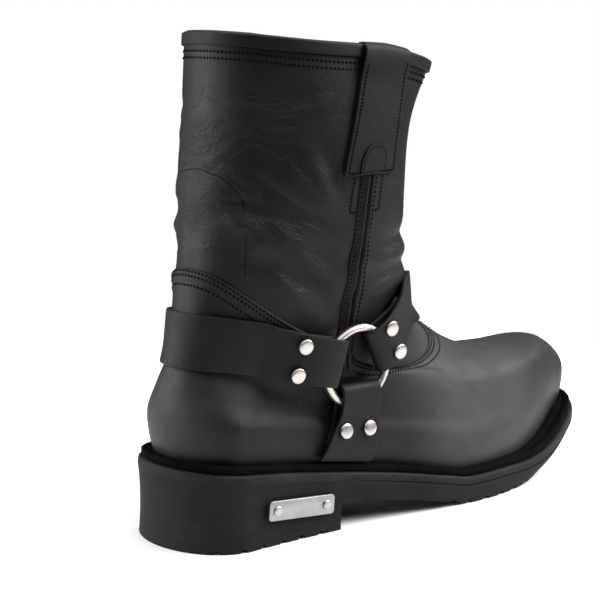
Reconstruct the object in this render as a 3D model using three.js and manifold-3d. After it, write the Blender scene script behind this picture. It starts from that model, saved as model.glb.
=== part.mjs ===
// A right-foot harness boot, made of the pieces that a maker puts together.
// Millimetres. +X points to the toe, +Y to the medial (inner) side and +Z up.
// The origin lies on the floor, under the middle of the boot's box.

import * as THREE from 'three';
import { mergeVertices } from 'three/addons/utils/BufferGeometryUtils.js';
import Module from 'manifold-3d';

const wasm = await Module();
wasm.setup();

const { lerp, smoothstep, degToRad } = THREE.MathUtils;

// Driving sizes of the sole
const soleLength = 318;
const ballWidth = 110;
const heelRise = 28.6;
const toeSpring = 21;
const heelLength = 91;
const breastSlant = 2;
const heelRound = 31;
const toeRound = 92;
const toeBluntness = 2.25;
const toeBevel = 10;
const toeThinning = 0.26;
const heelFeather = 1.6;
const toeFeather = 6;
const outsoleThickness = 10;
const midsoleThickness = 4.7;
const weltThickness = 4;
const insoleThickness = 3;
const midsoleInset = 1.3;
const weltInset = 2.4;
const weltBulge = 0.4;
const weltBevel = 0.6;
const seatTuck = 0.6;
const heelHollow = 1.1;
const treadDepth = 1.8;
const treadWidth = 2.2;
const treadPitch = 13;

// Driving sizes of the upper
const bootHeight = 262;
const rimDrop = 12;
const rimSideDrop = 4;
const instepHeight = 80;
const shaftWidth = 108;
const wallThickness = 2.2;
const overlayStep = 1.4;
const bindingDepth = 5.4;
const bindingThickness = 1.5;
const bindingCrown = 0.4;
const bindingTaper = 0.1;

// Driving sizes of the harness
const strapThickness = 2.4;
const heelStrapWidth = 29;
const instepStrapWidth = 30;
const soleStrapWidth = 31;
const soleStrapFootWidth = 35;
const foldWidth = 26;
const ringDiameter = 46;
const ringRod = 4.2;
const ringHeight = 90;
const heelStrapHeight = 107.5;
const instepStrapHeight = 114;
const rivetSpacing = 15.6;
const heelRivets = 37;
const instepRivets = 25.5;
const soleRivets = 36;
const strapFootClear = 2.6;
const rivetDiameter = 8.6;
const rivetHeight = 1.7;
const pullStrapWidth = 33;
const pullStrapFootWidth = 38;
const pullStrapThickness = 2.2;
const pullStrapOutside = 66;
const pullStrapInside = 34;
const foldReach = 2;
const foldEase = 8;
const tabWidth = 14;
const tabHeight = 13;
const tabThickness = 1.2;
const tabFootClear = 1.5;
const pipingWidth = 8.4;
const pipingHeight = 1.7;
const pipingBase = 0.3;
const pipingTuck = 4;
const pipingTopClear = 1;
const seamStepBelow = 13;
const seamStepAbove = 22;

// Driving sizes of the badge
const badgeLength = 44;
const badgeHeight = 10.5;
const badgeThickness = 1.8;
const badgeTilt = 4.6;
const badgeCorner = 1.6;
const badgeZ = 18;
const badgeScrewDiameter = 5.2;
const badgeScrewHeight = 0.8;

// Clearances
const gap = 0.3;
const layGap = 0.55;
const foldPlay = 0.3;
const stepPlay = 0.2;
const ringPlay = 0.8;
const pocketPlay = 1;

// Where parts of the sole begin and end, as shares of its length, and how far past the heel's
// length its own shape fades out, as a share of that length
const toeFrom = 0.62;
const toeTo = 0.94;
const treadFrom = 0.53;
const treadTo = 0.96;
const heelFade = 1.45;

// Where other pieces stand along the sole, as shares of its length
const ringShare = 0.317;
const soleFootShare = 0.304;
const heelAxisShare = 0.18;
const instepAxisShare = 0.42;
const badgeShare = 0.198;

// How finely the pieces are divided
const columns = 28;
const seamColumn = 10;
const footSteps = 2;

// Outline of the sole: half-widths before the ends are rounded, as shares of the ball width,
// at shares of the sole's length from the back of the heel.
const outline = [
  { at: 0.00, lateral: 0.372, medial: 0.380 },
  { at: 0.14, lateral: 0.374, medial: 0.376 },
  { at: 0.27, lateral: 0.392, medial: 0.346 },
  { at: 0.40, lateral: 0.430, medial: 0.322 },
  { at: 0.52, lateral: 0.484, medial: 0.386 },
  { at: 0.62, lateral: 0.500, medial: 0.468 },
  { at: 0.71, lateral: 0.486, medial: 0.500 },
  { at: 0.82, lateral: 0.448, medial: 0.482 },
  { at: 0.92, lateral: 0.405, medial: 0.452 },
  { at: 1.00, lateral: 0.404, medial: 0.430 },
];

// How the top of the midsole rises towards the heel and springs at the toe, as shares
// of heelRise and toeSpring.
const bed = [
  { at: 0.00, rise: 1.00, spring: 0.00 },
  { at: 0.14, rise: 0.83, spring: 0.00 },
  { at: 0.28, rise: 0.60, spring: 0.00 },
  { at: 0.42, rise: 0.34, spring: 0.00 },
  { at: 0.52, rise: 0.12, spring: 0.00 },
  { at: 0.58, rise: 0.00, spring: 0.00 },
  { at: 0.72, rise: 0.00, spring: 0.00 },
  { at: 0.78, rise: 0.00, spring: 0.07 },
  { at: 0.85, rise: 0.00, spring: 0.28 },
  { at: 0.92, rise: 0.00, spring: 0.60 },
  { at: 1.00, rise: 0.00, spring: 1.00 },
];

// Where the welt is broader, as shares of heelFeather and toeFeather.
const featherTable = [
  { at: 0.00, heel: 0.40, toe: 0.00 },
  { at: 0.04, heel: 1.00, toe: 0.00 },
  { at: 0.16, heel: 0.00, toe: 0.00 },
  { at: 0.62, heel: 0.00, toe: 0.00 },
  { at: 0.86, heel: 0.00, toe: 1.00 },
  { at: 0.93, heel: 0.00, toe: 1.00 },
  { at: 1.00, heel: 0.00, toe: 0.00 },
];

// Loops of the foot, from the feather line up to the seam of vamp and counter.
// inset is in millimetres inside the sole's outline, and morph turns the loop from that outline
// into its own oval, with its heel end shaped by round and its toe end by blunt. front, back and
// seam are shares of the sole's length, the heights above the midsole are shares of instepHeight,
// and the half-widths are shares of ballWidth.
const footLoops = [
  { inset: 8.4, morph: 0.0, back: 0.026, seam: 0.309, front: 0.974, dip: 0.0, round: 2.6, blunt: 2.2,
    backHeight: 0.004, sideHeight: 0.004, frontHeight: 0.004, heel: 0.300, ball: 0.420 },
  { inset: 6.0, morph: 0.0, back: 0.018, seam: 0.309, front: 0.982, dip: 0.0, round: 2.6, blunt: 2.2,
    backHeight: 0.165, sideHeight: 0.150, frontHeight: 0.140, heel: 0.320, ball: 0.440 },
  { inset: 6.2, morph: 0.0, back: 0.019, seam: 0.309, front: 0.981, dip: 0.0, round: 2.6, blunt: 2.2,
    backHeight: 0.340, sideHeight: 0.270, frontHeight: 0.300, heel: 0.320, ball: 0.440 },
  { inset: 8.5, morph: 0.5, back: 0.033, seam: 0.309, front: 0.960, dip: 0.0, round: 2.6, blunt: 2.3,
    backHeight: 0.520, sideHeight: 0.370, frontHeight: 0.455, heel: 0.330, ball: 0.425 },
  { inset: 9.0, morph: 1.0, back: 0.048, seam: 0.309, front: 0.916, dip: 0.0, round: 2.6, blunt: 2.4,
    backHeight: 0.710, sideHeight: 0.455, frontHeight: 0.595, heel: 0.328, ball: 0.392 },
  { inset: 9.0, morph: 1.0, back: 0.057, seam: 0.309, front: 0.828, dip: 0.0, round: 2.6, blunt: 2.6,
    backHeight: 0.900, sideHeight: 0.540, frontHeight: 0.662, heel: 0.330, ball: 0.360 },
  { inset: 9.0, morph: 1.0, back: 0.067, seam: 0.308, front: 0.704, dip: 0.03, round: 2.6, blunt: 2.5,
    backHeight: 1.095, sideHeight: 0.640, frontHeight: 0.728, heel: 0.338, ball: 0.332 },
  { inset: 9.0, morph: 1.0, back: 0.075, seam: 0.306, front: 0.596, dip: 0.205, round: 2.6, blunt: 2.35,
    backHeight: 1.290, sideHeight: 0.870, frontHeight: 1.020, heel: 0.352, ball: 0.335 },
];

// Loops of the shaft, from above that seam up to the collar. rise is the share of the way up,
// front, back and seam are shares of the sole's length, and width is a share of shaftWidth.
const shaftLoops = [
  { rise: 0.14, back: 0.082, seam: 0.308, front: 0.524, width: 0.392, round: 2.4, blunt: 2.25 },
  { rise: 0.33, back: 0.083, seam: 0.308, front: 0.506, width: 0.455, round: 2.2, blunt: 2.2 },
  { rise: 0.57, back: 0.096, seam: 0.317, front: 0.501, width: 0.492, round: 2.05, blunt: 2.1 },
  { rise: 0.80, back: 0.104, seam: 0.337, front: 0.513, width: 0.500, round: 2.05, blunt: 2.1 },
  { rise: 1.00, back: 0.104, seam: 0.353, front: 0.565, width: 0.490, round: 2.05, blunt: 2.1 },
];

// Reads a column of a table at a place between its rows, smoothly and without overshoot.
function read(table, column, at) {
  const last = table.length - 1;
  if (at <= table[0].at) return table[0][column];
  if (at >= table[last].at) return table[last][column];
  const slope = (k) => (table[k + 1][column] - table[k][column]) / (table[k + 1].at - table[k].at);
  const tangent = (k) => {
    if (k === 0) return slope(0);
    if (k === last) return slope(last - 1);
    const before = slope(k - 1);
    const after = slope(k);
    return before * after <= 0 ? 0 : (2 * before * after) / (before + after);
  };
  const k = table.findIndex((row) => row.at > at) - 1;
  const span = table[k + 1].at - table[k].at;
  const t = (at - table[k].at) / span;
  const a = table[k][column];
  const b = table[k + 1][column];
  return a + (b - a) * t * t * (3 - 2 * t)
    + span * t * (1 - t) * (tangent(k) * (1 - t) - tangent(k + 1) * t);
}

// A quarter of an oval: 0 at the tip of an end, 1 from the end's own length inwards.
function roundEnd(distance, length, bluntness) {
  const inward = Math.min(Math.max(distance / length, 0), 1);
  return (1 - (1 - inward) ** bluntness) ** (1 / bluntness);
}

// Everything is worked out from the back of the heel, and the group moves it to the origin.
// lateral is the side of -Y and medial the side of +Y.
const lateral = -1;
const medial = 1;
const sideName = (side) => (side === lateral ? 'lateral' : 'medial');

function outlinePoint(angle, side) {
  const at = (1 - Math.cos(angle)) / 2;
  const x = at * soleLength;
  const half = read(outline, sideName(side), at) * ballWidth;
  const ends = roundEnd(x, heelRound, 2) * roundEnd(soleLength - x, toeRound, toeBluntness);
  return new THREE.Vector2(x, side * half * ends);
}

// A point of the sole's outline, moved inwards. The angle runs from 0 at the heel to pi at the toe.
function solePoint(angle, side, inset) {
  const small = 0.01;
  const before = angle < small ? outlinePoint(small, -side) : outlinePoint(angle - small, side);
  const after = angle > Math.PI - small
    ? outlinePoint(Math.PI - small, -side) : outlinePoint(angle + small, side);
  const along = after.sub(before).normalize();
  const inward = new THREE.Vector2(side * along.y, -side * along.x);
  return outlinePoint(angle, side).addScaledVector(inward, inset);
}

const solesThickness = outsoleThickness + midsoleThickness + gap;

// Height of the midsole's top at a distance from the back of the heel.
function bedHeight(x) {
  const at = x / soleLength;
  return solesThickness + heelRise * read(bed, 'rise', at) + toeSpring * read(bed, 'spring', at);
}

// How far the sole's layers stand in from the outline over the heel.
function seatInset(x) {
  return seatTuck * (1 - smoothstep(x, heelLength, heelLength * heelFade));
}

// How much further in the upper stands where the welt is broader.
function featherInset(x) {
  const at = x / soleLength;
  return heelFeather * read(featherTable, 'heel', at) + toeFeather * read(featherTable, 'toe', at);
}

// Turns rows of points, each a closed polygon, into one closed body. A ring of rows closes on
// itself, and otherwise each end is closed across the polygon.
function loft(rows, ring = false) {
  const count = rows[0].length;
  const positions = rows.flat().flatMap((point) => [point.x, point.y, point.z]);
  const triangles = [];
  const quad = (a, b, c, d) => triangles.push([a, b, c], [a, c, d]);
  const lastRow = ring ? rows.length : rows.length - 1;
  for (let i = 0; i < lastRow; i += 1) {
    const next = (i + 1) % rows.length;
    for (let j = 0; j < count; j += 1) {
      const beside = (j + 1) % count;
      quad(i * count + j, i * count + beside, next * count + beside, next * count + j);
    }
  }
  if (!ring) {
    const end = (rows.length - 1) * count;
    for (let j = 0; j < count / 2 - 1; j += 1) {
      quad(j, count - 1 - j, count - 2 - j, j + 1);
      quad(end + j, end + j + 1, end + count - 2 - j, end + count - 1 - j);
    }
  }
  return closedBody(positions, triangles);
}

// Merges the shared corners, drops triangles without area and turns the faces outwards.
function closedBody(positions, triangles) {
  const raw = new THREE.BufferGeometry();
  raw.setAttribute('position', new THREE.Float32BufferAttribute(positions, 3));
  raw.setIndex(triangles.flat());
  const merged = mergeVertices(raw, 1e-3);
  const place = merged.attributes.position;
  const index = merged.index.array;
  const corner = (k) => new THREE.Vector3().fromBufferAttribute(place, k);
  const kept = [];
  let volume = 0;
  for (let k = 0; k < index.length; k += 3) {
    const [a, b, c] = index.slice(k, k + 3);
    if (a === b || b === c || c === a) continue;
    kept.push([a, b, c]);
    volume += corner(a).dot(corner(b).cross(corner(c)));
  }
  merged.setIndex(kept.flatMap(([a, b, c]) => (volume < 0 ? [a, c, b] : [a, b, c])));
  return merged;
}

function toManifold(geometry) {
  return new wasm.Manifold(new wasm.Mesh({
    numProp: 3,
    vertProperties: new Float32Array(geometry.attributes.position.array),
    triVerts: new Uint32Array(geometry.index.array),
  }));
}

function fromManifold(solid) {
  const mesh = solid.getMesh();
  const geometry = new THREE.BufferGeometry();
  geometry.setAttribute('position', new THREE.Float32BufferAttribute(mesh.vertProperties, 3));
  geometry.setIndex(Array.from(mesh.triVerts));
  return geometry;
}

const columnAngle = (column) => (Math.PI * column) / columns;

// A layer of the sole. profile lists the side's steps from the underside up, each with its inset
// and its height above the floor, both worked out from the distance along the sole.
function slab(profile, fromX = -Infinity, toX = Infinity) {
  const rows = [];
  for (let column = 0; column <= columns; column += 1) {
    const angle = columnAngle(column);
    const x = outlinePoint(angle, lateral).x;
    if (x < fromX || x > toX) continue;
    const sidePoints = (side) => profile.map(({ inset, height }) => {
      const flat = solePoint(angle, side, inset(x));
      return new THREE.Vector3(flat.x, flat.y, height(flat.x));
    });
    rows.push([...sidePoints(lateral), ...sidePoints(medial).reverse()]);
  }
  return loft(rows);
}

// Outer and inner faces of the upper

const loopPower = (share, { round, blunt }) => {
  const power = share < 0.5 ? round : blunt;
  return Math.max(0, 1 - Math.abs(2 * share - 1) ** power) ** (1 / power);
};

// Angle of a column on a loop whose side seam stands at a share of its length.
function loopAngle(column, seamShare) {
  const seamAngle = Math.acos(1 - 2 * seamShare);
  if (column <= seamColumn) return (seamAngle * column) / seamColumn;
  return lerp(seamAngle, Math.PI, (column - seamColumn) / (columns - seamColumn));
}

// Height of a loop at a column, from its heights at the back, the side seam and the front. The
// dip lowers it between the side seam and the front, where the vamp's edge runs level.
function loopHeight(column, back, side, front, dip = 0) {
  if (column <= seamColumn) {
    return lerp(back, side, smoothstep(column, 0, seamColumn) ** 1.12);
  }
  const forward = (column - seamColumn) / (columns - seamColumn);
  const rising = lerp(side, front, Math.sin((forward * Math.PI) / 2));
  return rising - dip * Math.sin(Math.PI * forward ** 0.6);
}

function footPoint(loop, column, side) {
  const share = (1 - Math.cos(loopAngle(column, (loop.seam - loop.back) / (loop.front - loop.back)))) / 2;
  const width = lerp(loop.heel, loop.ball, smoothstep(share, 0.25, 0.7)) * ballWidth;
  const own = new THREE.Vector2(
    lerp(loop.back, loop.front, share) * soleLength,
    side * width * loopPower(share, loop),
  );
  const angle = columnAngle(column);
  const inset = loop.inset + featherInset(outlinePoint(angle, side).x);
  const flat = solePoint(angle, side, inset).lerp(own, loop.morph);
  const height = instepHeight
    * loopHeight(column, loop.backHeight, loop.sideHeight, loop.frontHeight, loop.dip);
  return new THREE.Vector3(flat.x, flat.y, bedHeight(flat.x) + height);
}

function shaftPoint(loop, column, side) {
  const share = (1 - Math.cos(loopAngle(column, (loop.seam - loop.back) / (loop.front - loop.back)))) / 2;
  const start = footPoint(footLoops[footLoops.length - 1], column, side).z;
  const rim = bootHeight - loopHeight(column, 0, rimSideDrop, rimDrop);
  return new THREE.Vector3(
    lerp(loop.back, loop.front, share) * soleLength,
    side * loop.width * shaftWidth * loopPower(share, loop),
    lerp(start, rim, loop.rise),
  );
}

// Every column round the upper: up the lateral side from heel to toe, and back on the medial side.
const around = [];
for (let column = 0; column <= columns; column += 1) around.push({ column, side: lateral });
for (let column = columns - 1; column > 0; column -= 1) around.push({ column, side: medial });

// The foot curves more than the shaft, so each of its loops has further rows after it.
const footRows = (footLoops.length - 1) * footSteps;
const upperRows = footRows + shaftLoops.length;
const lastLoop = footLoops.length + shaftLoops.length - 1;
const rowLoop = (row) => (row < footRows ? row / footSteps : row - footRows + footLoops.length - 1);
const rowShare = (row) => rowLoop(row) / lastLoop;

// The outer face of the lining-to-leather wall, a smooth curve up each column.
const outerFace = around.map(({ column, side }) => {
  const knots = [
    ...footLoops.map((loop) => footPoint(loop, column, side)),
    ...shaftLoops.map((loop) => shaftPoint(loop, column, side)),
  ];
  const curve = new THREE.CatmullRomCurve3(knots, false, 'centripetal');
  return Array.from({ length: upperRows + 1 }, (_, row) => curve.getPoint(rowShare(row)));
});

function faceGeometry(face) {
  const geometry = new THREE.BufferGeometry();
  const index = [];
  const height = face[0].length;
  face.forEach((_, i) => {
    const next = (i + 1) % face.length;
    for (let j = 0; j < height - 1; j += 1) {
      const [a, b, c, d] = [i * height + j, next * height + j, next * height + j + 1, i * height + j + 1];
      index.push(a, b, c, a, c, d);
    }
  });
  const flat = face.flat().flatMap((point) => [point.x, point.y, point.z]);
  geometry.setAttribute('position', new THREE.Float32BufferAttribute(flat, 3));
  geometry.setIndex(index);
  geometry.computeVertexNormals();
  return geometry;
}

const outerGeometry = faceGeometry(outerFace);
const outerNormal = (i, row) => new THREE.Vector3()
  .fromBufferAttribute(outerGeometry.attributes.normal, i * (upperRows + 1) + row);

// The outside of the upper, where vamp and counter stand proud of the shaft below their seam.
const overlayShare = (row) => Math.min(row / (2 * footSteps), 1);
const upperOutside = (i, row) => outerFace[i][row].clone()
  .addScaledVector(outerNormal(i, row), overlayStep * overlayShare(row));

// One hollow wall, open at the collar and underneath.
function upperGeometry() {
  const rows = outerFace.map((line, i) => {
    const outside = [];
    const inside = [];
    line.forEach((point, row) => {
      if (row <= footRows) outside.push(upperOutside(i, row));
      if (row >= footRows) outside.push(point.clone());
      const inner = point.clone().addScaledVector(outerNormal(i, row), -wallThickness);
      if (row === 0 || row === upperRows) inner.z = point.z;
      inside.push(inner);
    });
    return [...outside, ...inside.reverse()];
  });
  return loft(rows, true);
}

// A level ray from inside the boot finds the outer face of the shaft, heel and instep.
const skin = new THREE.Mesh(outerGeometry, new THREE.MeshBasicMaterial({ side: THREE.DoubleSide }));
const caster = new THREE.Raycaster();

function firstHit(origin, direction) {
  caster.set(origin, direction.clone().normalize());
  const [hit] = caster.intersectObject(skin, false);
  const normal = hit.normal.clone();
  if (normal.dot(caster.ray.direction) < 0) normal.negate();
  return { point: hit.point.clone(), normal };
}

function onSkin(place, axisX) {
  const origin = new THREE.Vector3(axisX, 0, place.z);
  return firstHit(origin, new THREE.Vector3(place.x - axisX, place.y, 0));
}

const besideSkin = (x, z, side) => firstHit(new THREE.Vector3(x, 0, z), new THREE.Vector3(0, side, 0));

const lifted = ({ point, normal }, lift) => point.clone().addScaledVector(normal, lift);

// A strip of leather or the like. Each station holds its inner face's points across the strip,
// with the way out at each, and the outer face lies one thickness further out.
function strip(stations, thickness) {
  return loft(stations.map((station) => {
    const inner = station.map(({ point }) => point);
    const outer = station.map(({ point, normal }) => point.clone().addScaledVector(normal, thickness));
    return [...inner, ...outer.reverse()];
  }));
}

const shares = (count) => Array.from({ length: count + 1 }, (_, k) => k / count);

// Materials

const leather = () => new THREE.MeshStandardMaterial({ color: 0x232426, roughness: 0.55 });
const rubber = () => new THREE.MeshStandardMaterial({ color: 0x2b2c2e, roughness: 0.85 });
const nickel = () => new THREE.MeshStandardMaterial({ color: 0xb9b4a8, roughness: 0.35, metalness: 1 });
const steel = () => new THREE.MeshStandardMaterial({ color: 0xc9cacc, roughness: 0.3, metalness: 1 });

const boot = new THREE.Group();
boot.position.x = -soleLength / 2;

function add(name, geometry, material) {
  const mesh = new THREE.Mesh(geometry, material);
  mesh.name = name;
  boot.add(mesh);
}

// Sole

const outsoleTop = (x) => bedHeight(x) - midsoleThickness - gap;
const towardsToe = (x) => smoothstep(x / soleLength, toeFrom, toeTo);
const outsoleBottom = (x) => outsoleTop(x) - outsoleThickness * (1 - toeThinning * towardsToe(x));
const bevel = (x) => toeBevel * towardsToe(x);

// The stack of the heel is drawn in a little between the floor and the midsole.
const waist = (x, z) => heelHollow
  * (1 - smoothstep(x, heelLength, heelLength * heelFade))
  * Math.max(0, Math.sin(Math.PI * Math.min(Math.max(z / outsoleTop(x), 0), 1))) ** 0.7;

// A bar-shaped cutter across the whole sole, sunk a tread's depth into the underside.
function treadCutter(x, bottom, slope) {
  const cutter = new THREE.BoxGeometry(treadWidth, ballWidth * 2, treadDepth * 2);
  cutter.deleteAttribute('normal');
  cutter.deleteAttribute('uv');
  cutter.rotateY(-Math.atan(slope));
  cutter.translate(x, 0, bottom);
  return mergeVertices(cutter);
}

function cutTread(geometry, bottom, fromX, toX) {
  let body = toManifold(geometry);
  for (let x = fromX; x <= toX; x += treadPitch) {
    const slope = (bottom(x + 1) - bottom(x - 1)) / 2;
    body = body.subtract(toManifold(treadCutter(x, bottom(x), slope)));
  }
  return fromManifold(body);
}

function outsoleGeometry() {
  const level = (share) => (x) => lerp(outsoleBottom(x), outsoleTop(x), share);
  const side = (share, bevelShare) => ({
    inset: (x) => seatInset(x) + waist(x, level(share)(x)) + bevel(x) * bevelShare,
    height: level(share),
  });
  const whole = slab([side(0, 1), side(0.4, 0.45), side(0.8, 0.08), side(1, 0)]);
  return cutTread(whole, outsoleBottom, soleLength * treadFrom, soleLength * treadTo);
}

add('outsole', outsoleGeometry(), rubber());

add('midsole', slab([
  { inset: (x) => seatInset(x) + midsoleInset * 0.4, height: (x) => bedHeight(x) - midsoleThickness },
  { inset: (x) => seatInset(x) + midsoleInset * 0.4, height: (x) => bedHeight(x) - midsoleThickness / 3 },
  { inset: (x) => seatInset(x) + midsoleInset, height: bedHeight },
]), rubber());

// The heel block is a layer of the same outline, cut off at its slanted breast.
function heelGeometry() {
  const top = (x) => outsoleBottom(x) - gap;
  const hollow = (share) => ({
    inset: (x) => seatTuck * share + waist(x, top(x) * share),
    height: (x) => top(x) * share,
  });
  const whole = slab([0, 0.2, 0.45, 0.7, 1].map(hollow), -Infinity, heelLength * heelFade);
  const breast = new THREE.BoxGeometry(soleLength, ballWidth * 2, bootHeight);
  breast.deleteAttribute('normal');
  breast.deleteAttribute('uv');
  breast.translate(soleLength / 2, 0, 0);
  breast.rotateY(Math.atan(breastSlant / top(heelLength)));
  breast.translate(heelLength, 0, 0);
  const block = fromManifold(toManifold(whole).subtract(toManifold(mergeVertices(breast))));
  return cutTread(block, () => 0, treadPitch, heelLength - treadPitch / 2);
}

add('heel_block', heelGeometry(), rubber());

const insoleInset = (x) => footLoops[0].inset + featherInset(x) + wallThickness + 2 * gap;

add('insole', slab([
  { inset: insoleInset, height: (x) => bedHeight(x) + 2 * gap },
  { inset: insoleInset, height: (x) => bedHeight(x) + 2 * gap + insoleThickness },
]), leather());

// The welt closes round the upper's foot.
function weltGeometry() {
  const rows = around.map(({ column, side }, i) => {
    const angle = columnAngle(column);
    const edge = solePoint(angle, side, 0);
    const outward = edge.clone().sub(solePoint(angle, side, 1));
    const x = outlinePoint(angle, side).x;
    const inner = (height) => {
      const low = upperOutside(i, 0);
      const high = upperOutside(i, 1);
      const point = low.lerp(high, Math.max(0, (height - low.z) / (high.z - low.z)));
      return new THREE.Vector3(point.x + outward.x * gap, point.y + outward.y * gap, height);
    };
    const outer = (inset, height) => {
      const flat = solePoint(angle, side, seatInset(x) + inset);
      return new THREE.Vector3(flat.x, flat.y, bedHeight(flat.x) + height);
    };
    const bottom = bedHeight(upperOutside(i, 0).x) + gap;
    return [
      inner(bottom),
      outer(weltInset, gap),
      outer(weltInset - weltBulge, gap + weltThickness / 2),
      outer(weltInset + weltBevel, gap + weltThickness),
      inner(bottom + weltThickness),
    ];
  });
  return loft(rows, true);
}

add('welt', weltGeometry(), leather());

// Upper and its trims

add('upper', upperGeometry(), leather());

// A place on the wall near the collar: down from the rim, and out from the outer face.
function rimPlace(i, down, out) {
  const top = outerFace[i][upperRows];
  const below = outerFace[i][upperRows - 1];
  const share = down / top.distanceTo(below);
  const normal = outerNormal(i, upperRows).lerp(outerNormal(i, upperRows - 1), share).normalize();
  return top.clone().lerp(below, share).addScaledVector(normal, out);
}

const bindingOut = gap + bindingThickness;

function bindingGeometry() {
  const above = (place, height) => new THREE.Vector3(place.x, place.y, place.z + height);
  const inside = -wallThickness - gap;
  return loft(around.map((_, i) => [
    above(rimPlace(i, 0, gap), gap),
    rimPlace(i, bindingDepth, gap),
    rimPlace(i, bindingDepth, bindingOut),
    above(rimPlace(i, 0, bindingOut - bindingTaper), bindingOut / 2),
    above(rimPlace(i, 0, -wallThickness / 2), bindingOut + bindingCrown),
    above(rimPlace(i, 0, inside - bindingThickness + bindingTaper), bindingOut / 2),
    rimPlace(i, bindingDepth, inside - bindingThickness),
    rimPlace(i, bindingDepth, inside),
    above(rimPlace(i, 0, inside), gap),
  ]), true);
}

add('collar_binding', bindingGeometry(), leather());

// The side seam, and the rim above a place beside it.
const seamIndex = (side) => around.findIndex((place) => place.column === seamColumn && place.side === side);

function alongSeam(side, height) {
  const line = outerFace[seamIndex(side)];
  const k = Math.max(1, line.findIndex((point) => point.z > height));
  const share = (height - line[k - 1].z) / (line[k].z - line[k - 1].z);
  return line[k - 1].clone().lerp(line[k], share).x;
}

function rimAbove(x, side) {
  const tops = around.map((place, i) => ({ ...place, top: outerFace[i][upperRows] }))
    .filter((place) => place.side === side)
    .sort((a, b) => a.top.x - b.top.x);
  const k = tops.findIndex(({ top }) => top.x > x);
  const [before, after] = [tops[k - 1].top, tops[k].top];
  return lerp(before.z, after.z, (x - before.x) / (after.x - before.x));
}

// A pull strap runs up the outside over the binding and down the inside.
const pullStrapClear = bindingOut + foldPlay + gap;

function pullStrapStations(side) {
  const seamTop = outerFace[seamIndex(side)][upperRows];
  const foot = seamTop.z - pullStrapOutside;
  const across = shares(4).map((share) => share * 2 - 1);
  const station = (down, lift, over, turn) => across.map((share) => {
    const level = Math.max(seamTop.z - down, foot);
    const centre = alongSeam(side, Math.min(level, seamTop.z - 1));
    const width = lerp(pullStrapFootWidth, pullStrapWidth, (level - foot) / pullStrapOutside);
    const x = centre + (share * width) / 2;
    const rim = rimAbove(x, side);
    const { point, normal } = besideSkin(x, Math.min(level, rim - 0.5), side);
    point.addScaledVector(normal, lift);
    point.z += over;
    const out = normal.clone().multiplyScalar(Math.cos(turn));
    out.z += Math.sin(turn);
    return { point, normal: out.normalize() };
  });
  const legs = bindingDepth + foldReach;
  const middle = -wallThickness / 2;
  const reach = pullStrapClear - middle;
  const stations = [];
  for (const share of shares(5)) {
    stations.push(station(lerp(pullStrapOutside, legs + foldEase, share), layGap, 0, 0));
  }
  stations.push(station(legs, pullStrapClear, 0, 0));
  for (const share of shares(6)) {
    const turn = Math.PI * share;
    const lift = middle + reach * Math.cos(turn);
    stations.push(station(0.5, lift, 0.5 + reach * Math.sin(turn) * 0.75, turn));
  }
  const inner = -wallThickness;
  stations.push(station(legs, inner - pullStrapClear, 0, Math.PI));
  for (const share of shares(3)) {
    const down = lerp(legs + foldEase, pullStrapInside, share);
    stations.push(station(down, inner - layGap, 0, Math.PI));
  }
  return stations;
}

// The double raised seam between the pull strap and the ring.
function pipingStations(side) {
  const foot = ringHeight - pipingTuck;
  const end = outerFace[seamIndex(side)][upperRows].z - pullStrapOutside - pipingTopClear;
  const profile = [
    { at: -0.5, rise: 0.1 },
    { at: -0.25, rise: 1 },
    { at: 0, rise: 0.35 },
    { at: 0.25, rise: 1 },
    { at: 0.5, rise: 0.1 },
  ];
  return shares(12).map((share) => {
    const height = lerp(foot, end, share);
    const centre = alongSeam(side, height);
    const places = profile.map(({ at }) => besideSkin(centre + at * pipingWidth, height, side));
    const above = smoothstep(height, ringHeight + seamStepBelow, ringHeight + seamStepAbove);
    const clear = layGap + overlayStep * (1 - above);
    const inner = places.map((place) => lifted(place, clear));
    const top = (k) => clear + pipingBase + pipingHeight * profile[k].rise;
    const outer = places.map((place, k) => lifted(place, top(k)));
    return [...inner, ...outer.reverse()];
  });
}

// The small rounded tab at the foot of a pull strap, laid on it.
function tabStations(side) {
  const seamTop = outerFace[seamIndex(side)][upperRows];
  const foot = seamTop.z - pullStrapOutside + tabFootClear;
  const clear = layGap + pullStrapThickness + gap;
  return shares(5).map((share) => {
    const height = foot + tabHeight * share;
    const half = (tabWidth / 2) * Math.sqrt(Math.max(1 - share ** 3, 0.05));
    return shares(3).map((across) => {
      const place = besideSkin(alongSeam(side, height) + (across * 2 - 1) * half, height, side);
      return { point: lifted(place, clear), normal: place.normal };
    });
  });
}

for (const side of [lateral, medial]) {
  add(`pull_strap_${sideName(side)}`, strip(pullStrapStations(side), pullStrapThickness), leather());
  add(`pull_tab_${sideName(side)}`, strip(tabStations(side), tabThickness), leather());
  add(`side_piping_${sideName(side)}`, loft(pipingStations(side)), leather());
}

// Harness

const ringRadius = (ringDiameter - ringRod) / 2;
const ringX = ringShare * soleLength;
const strapClear = overlayStep + layGap + stepPlay;
const ringLift = strapClear + strapThickness + gap + ringRod / 2 + ringPlay;
const rodClear = ringRod / 2 + gap;

// The plane that a ring lies in: its middle, the way out of the boot, and the ways forward and up.
function ringPlane(side) {
  const place = besideSkin(ringX, ringHeight, side);
  const out = place.normal.clone();
  const forward = new THREE.Vector3(1, 0, 0).addScaledVector(out, -out.x).normalize();
  const up = new THREE.Vector3().crossVectors(forward, out);
  if (up.z < 0) up.negate();
  return { middle: lifted(place, ringLift), out, forward, up };
}

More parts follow.
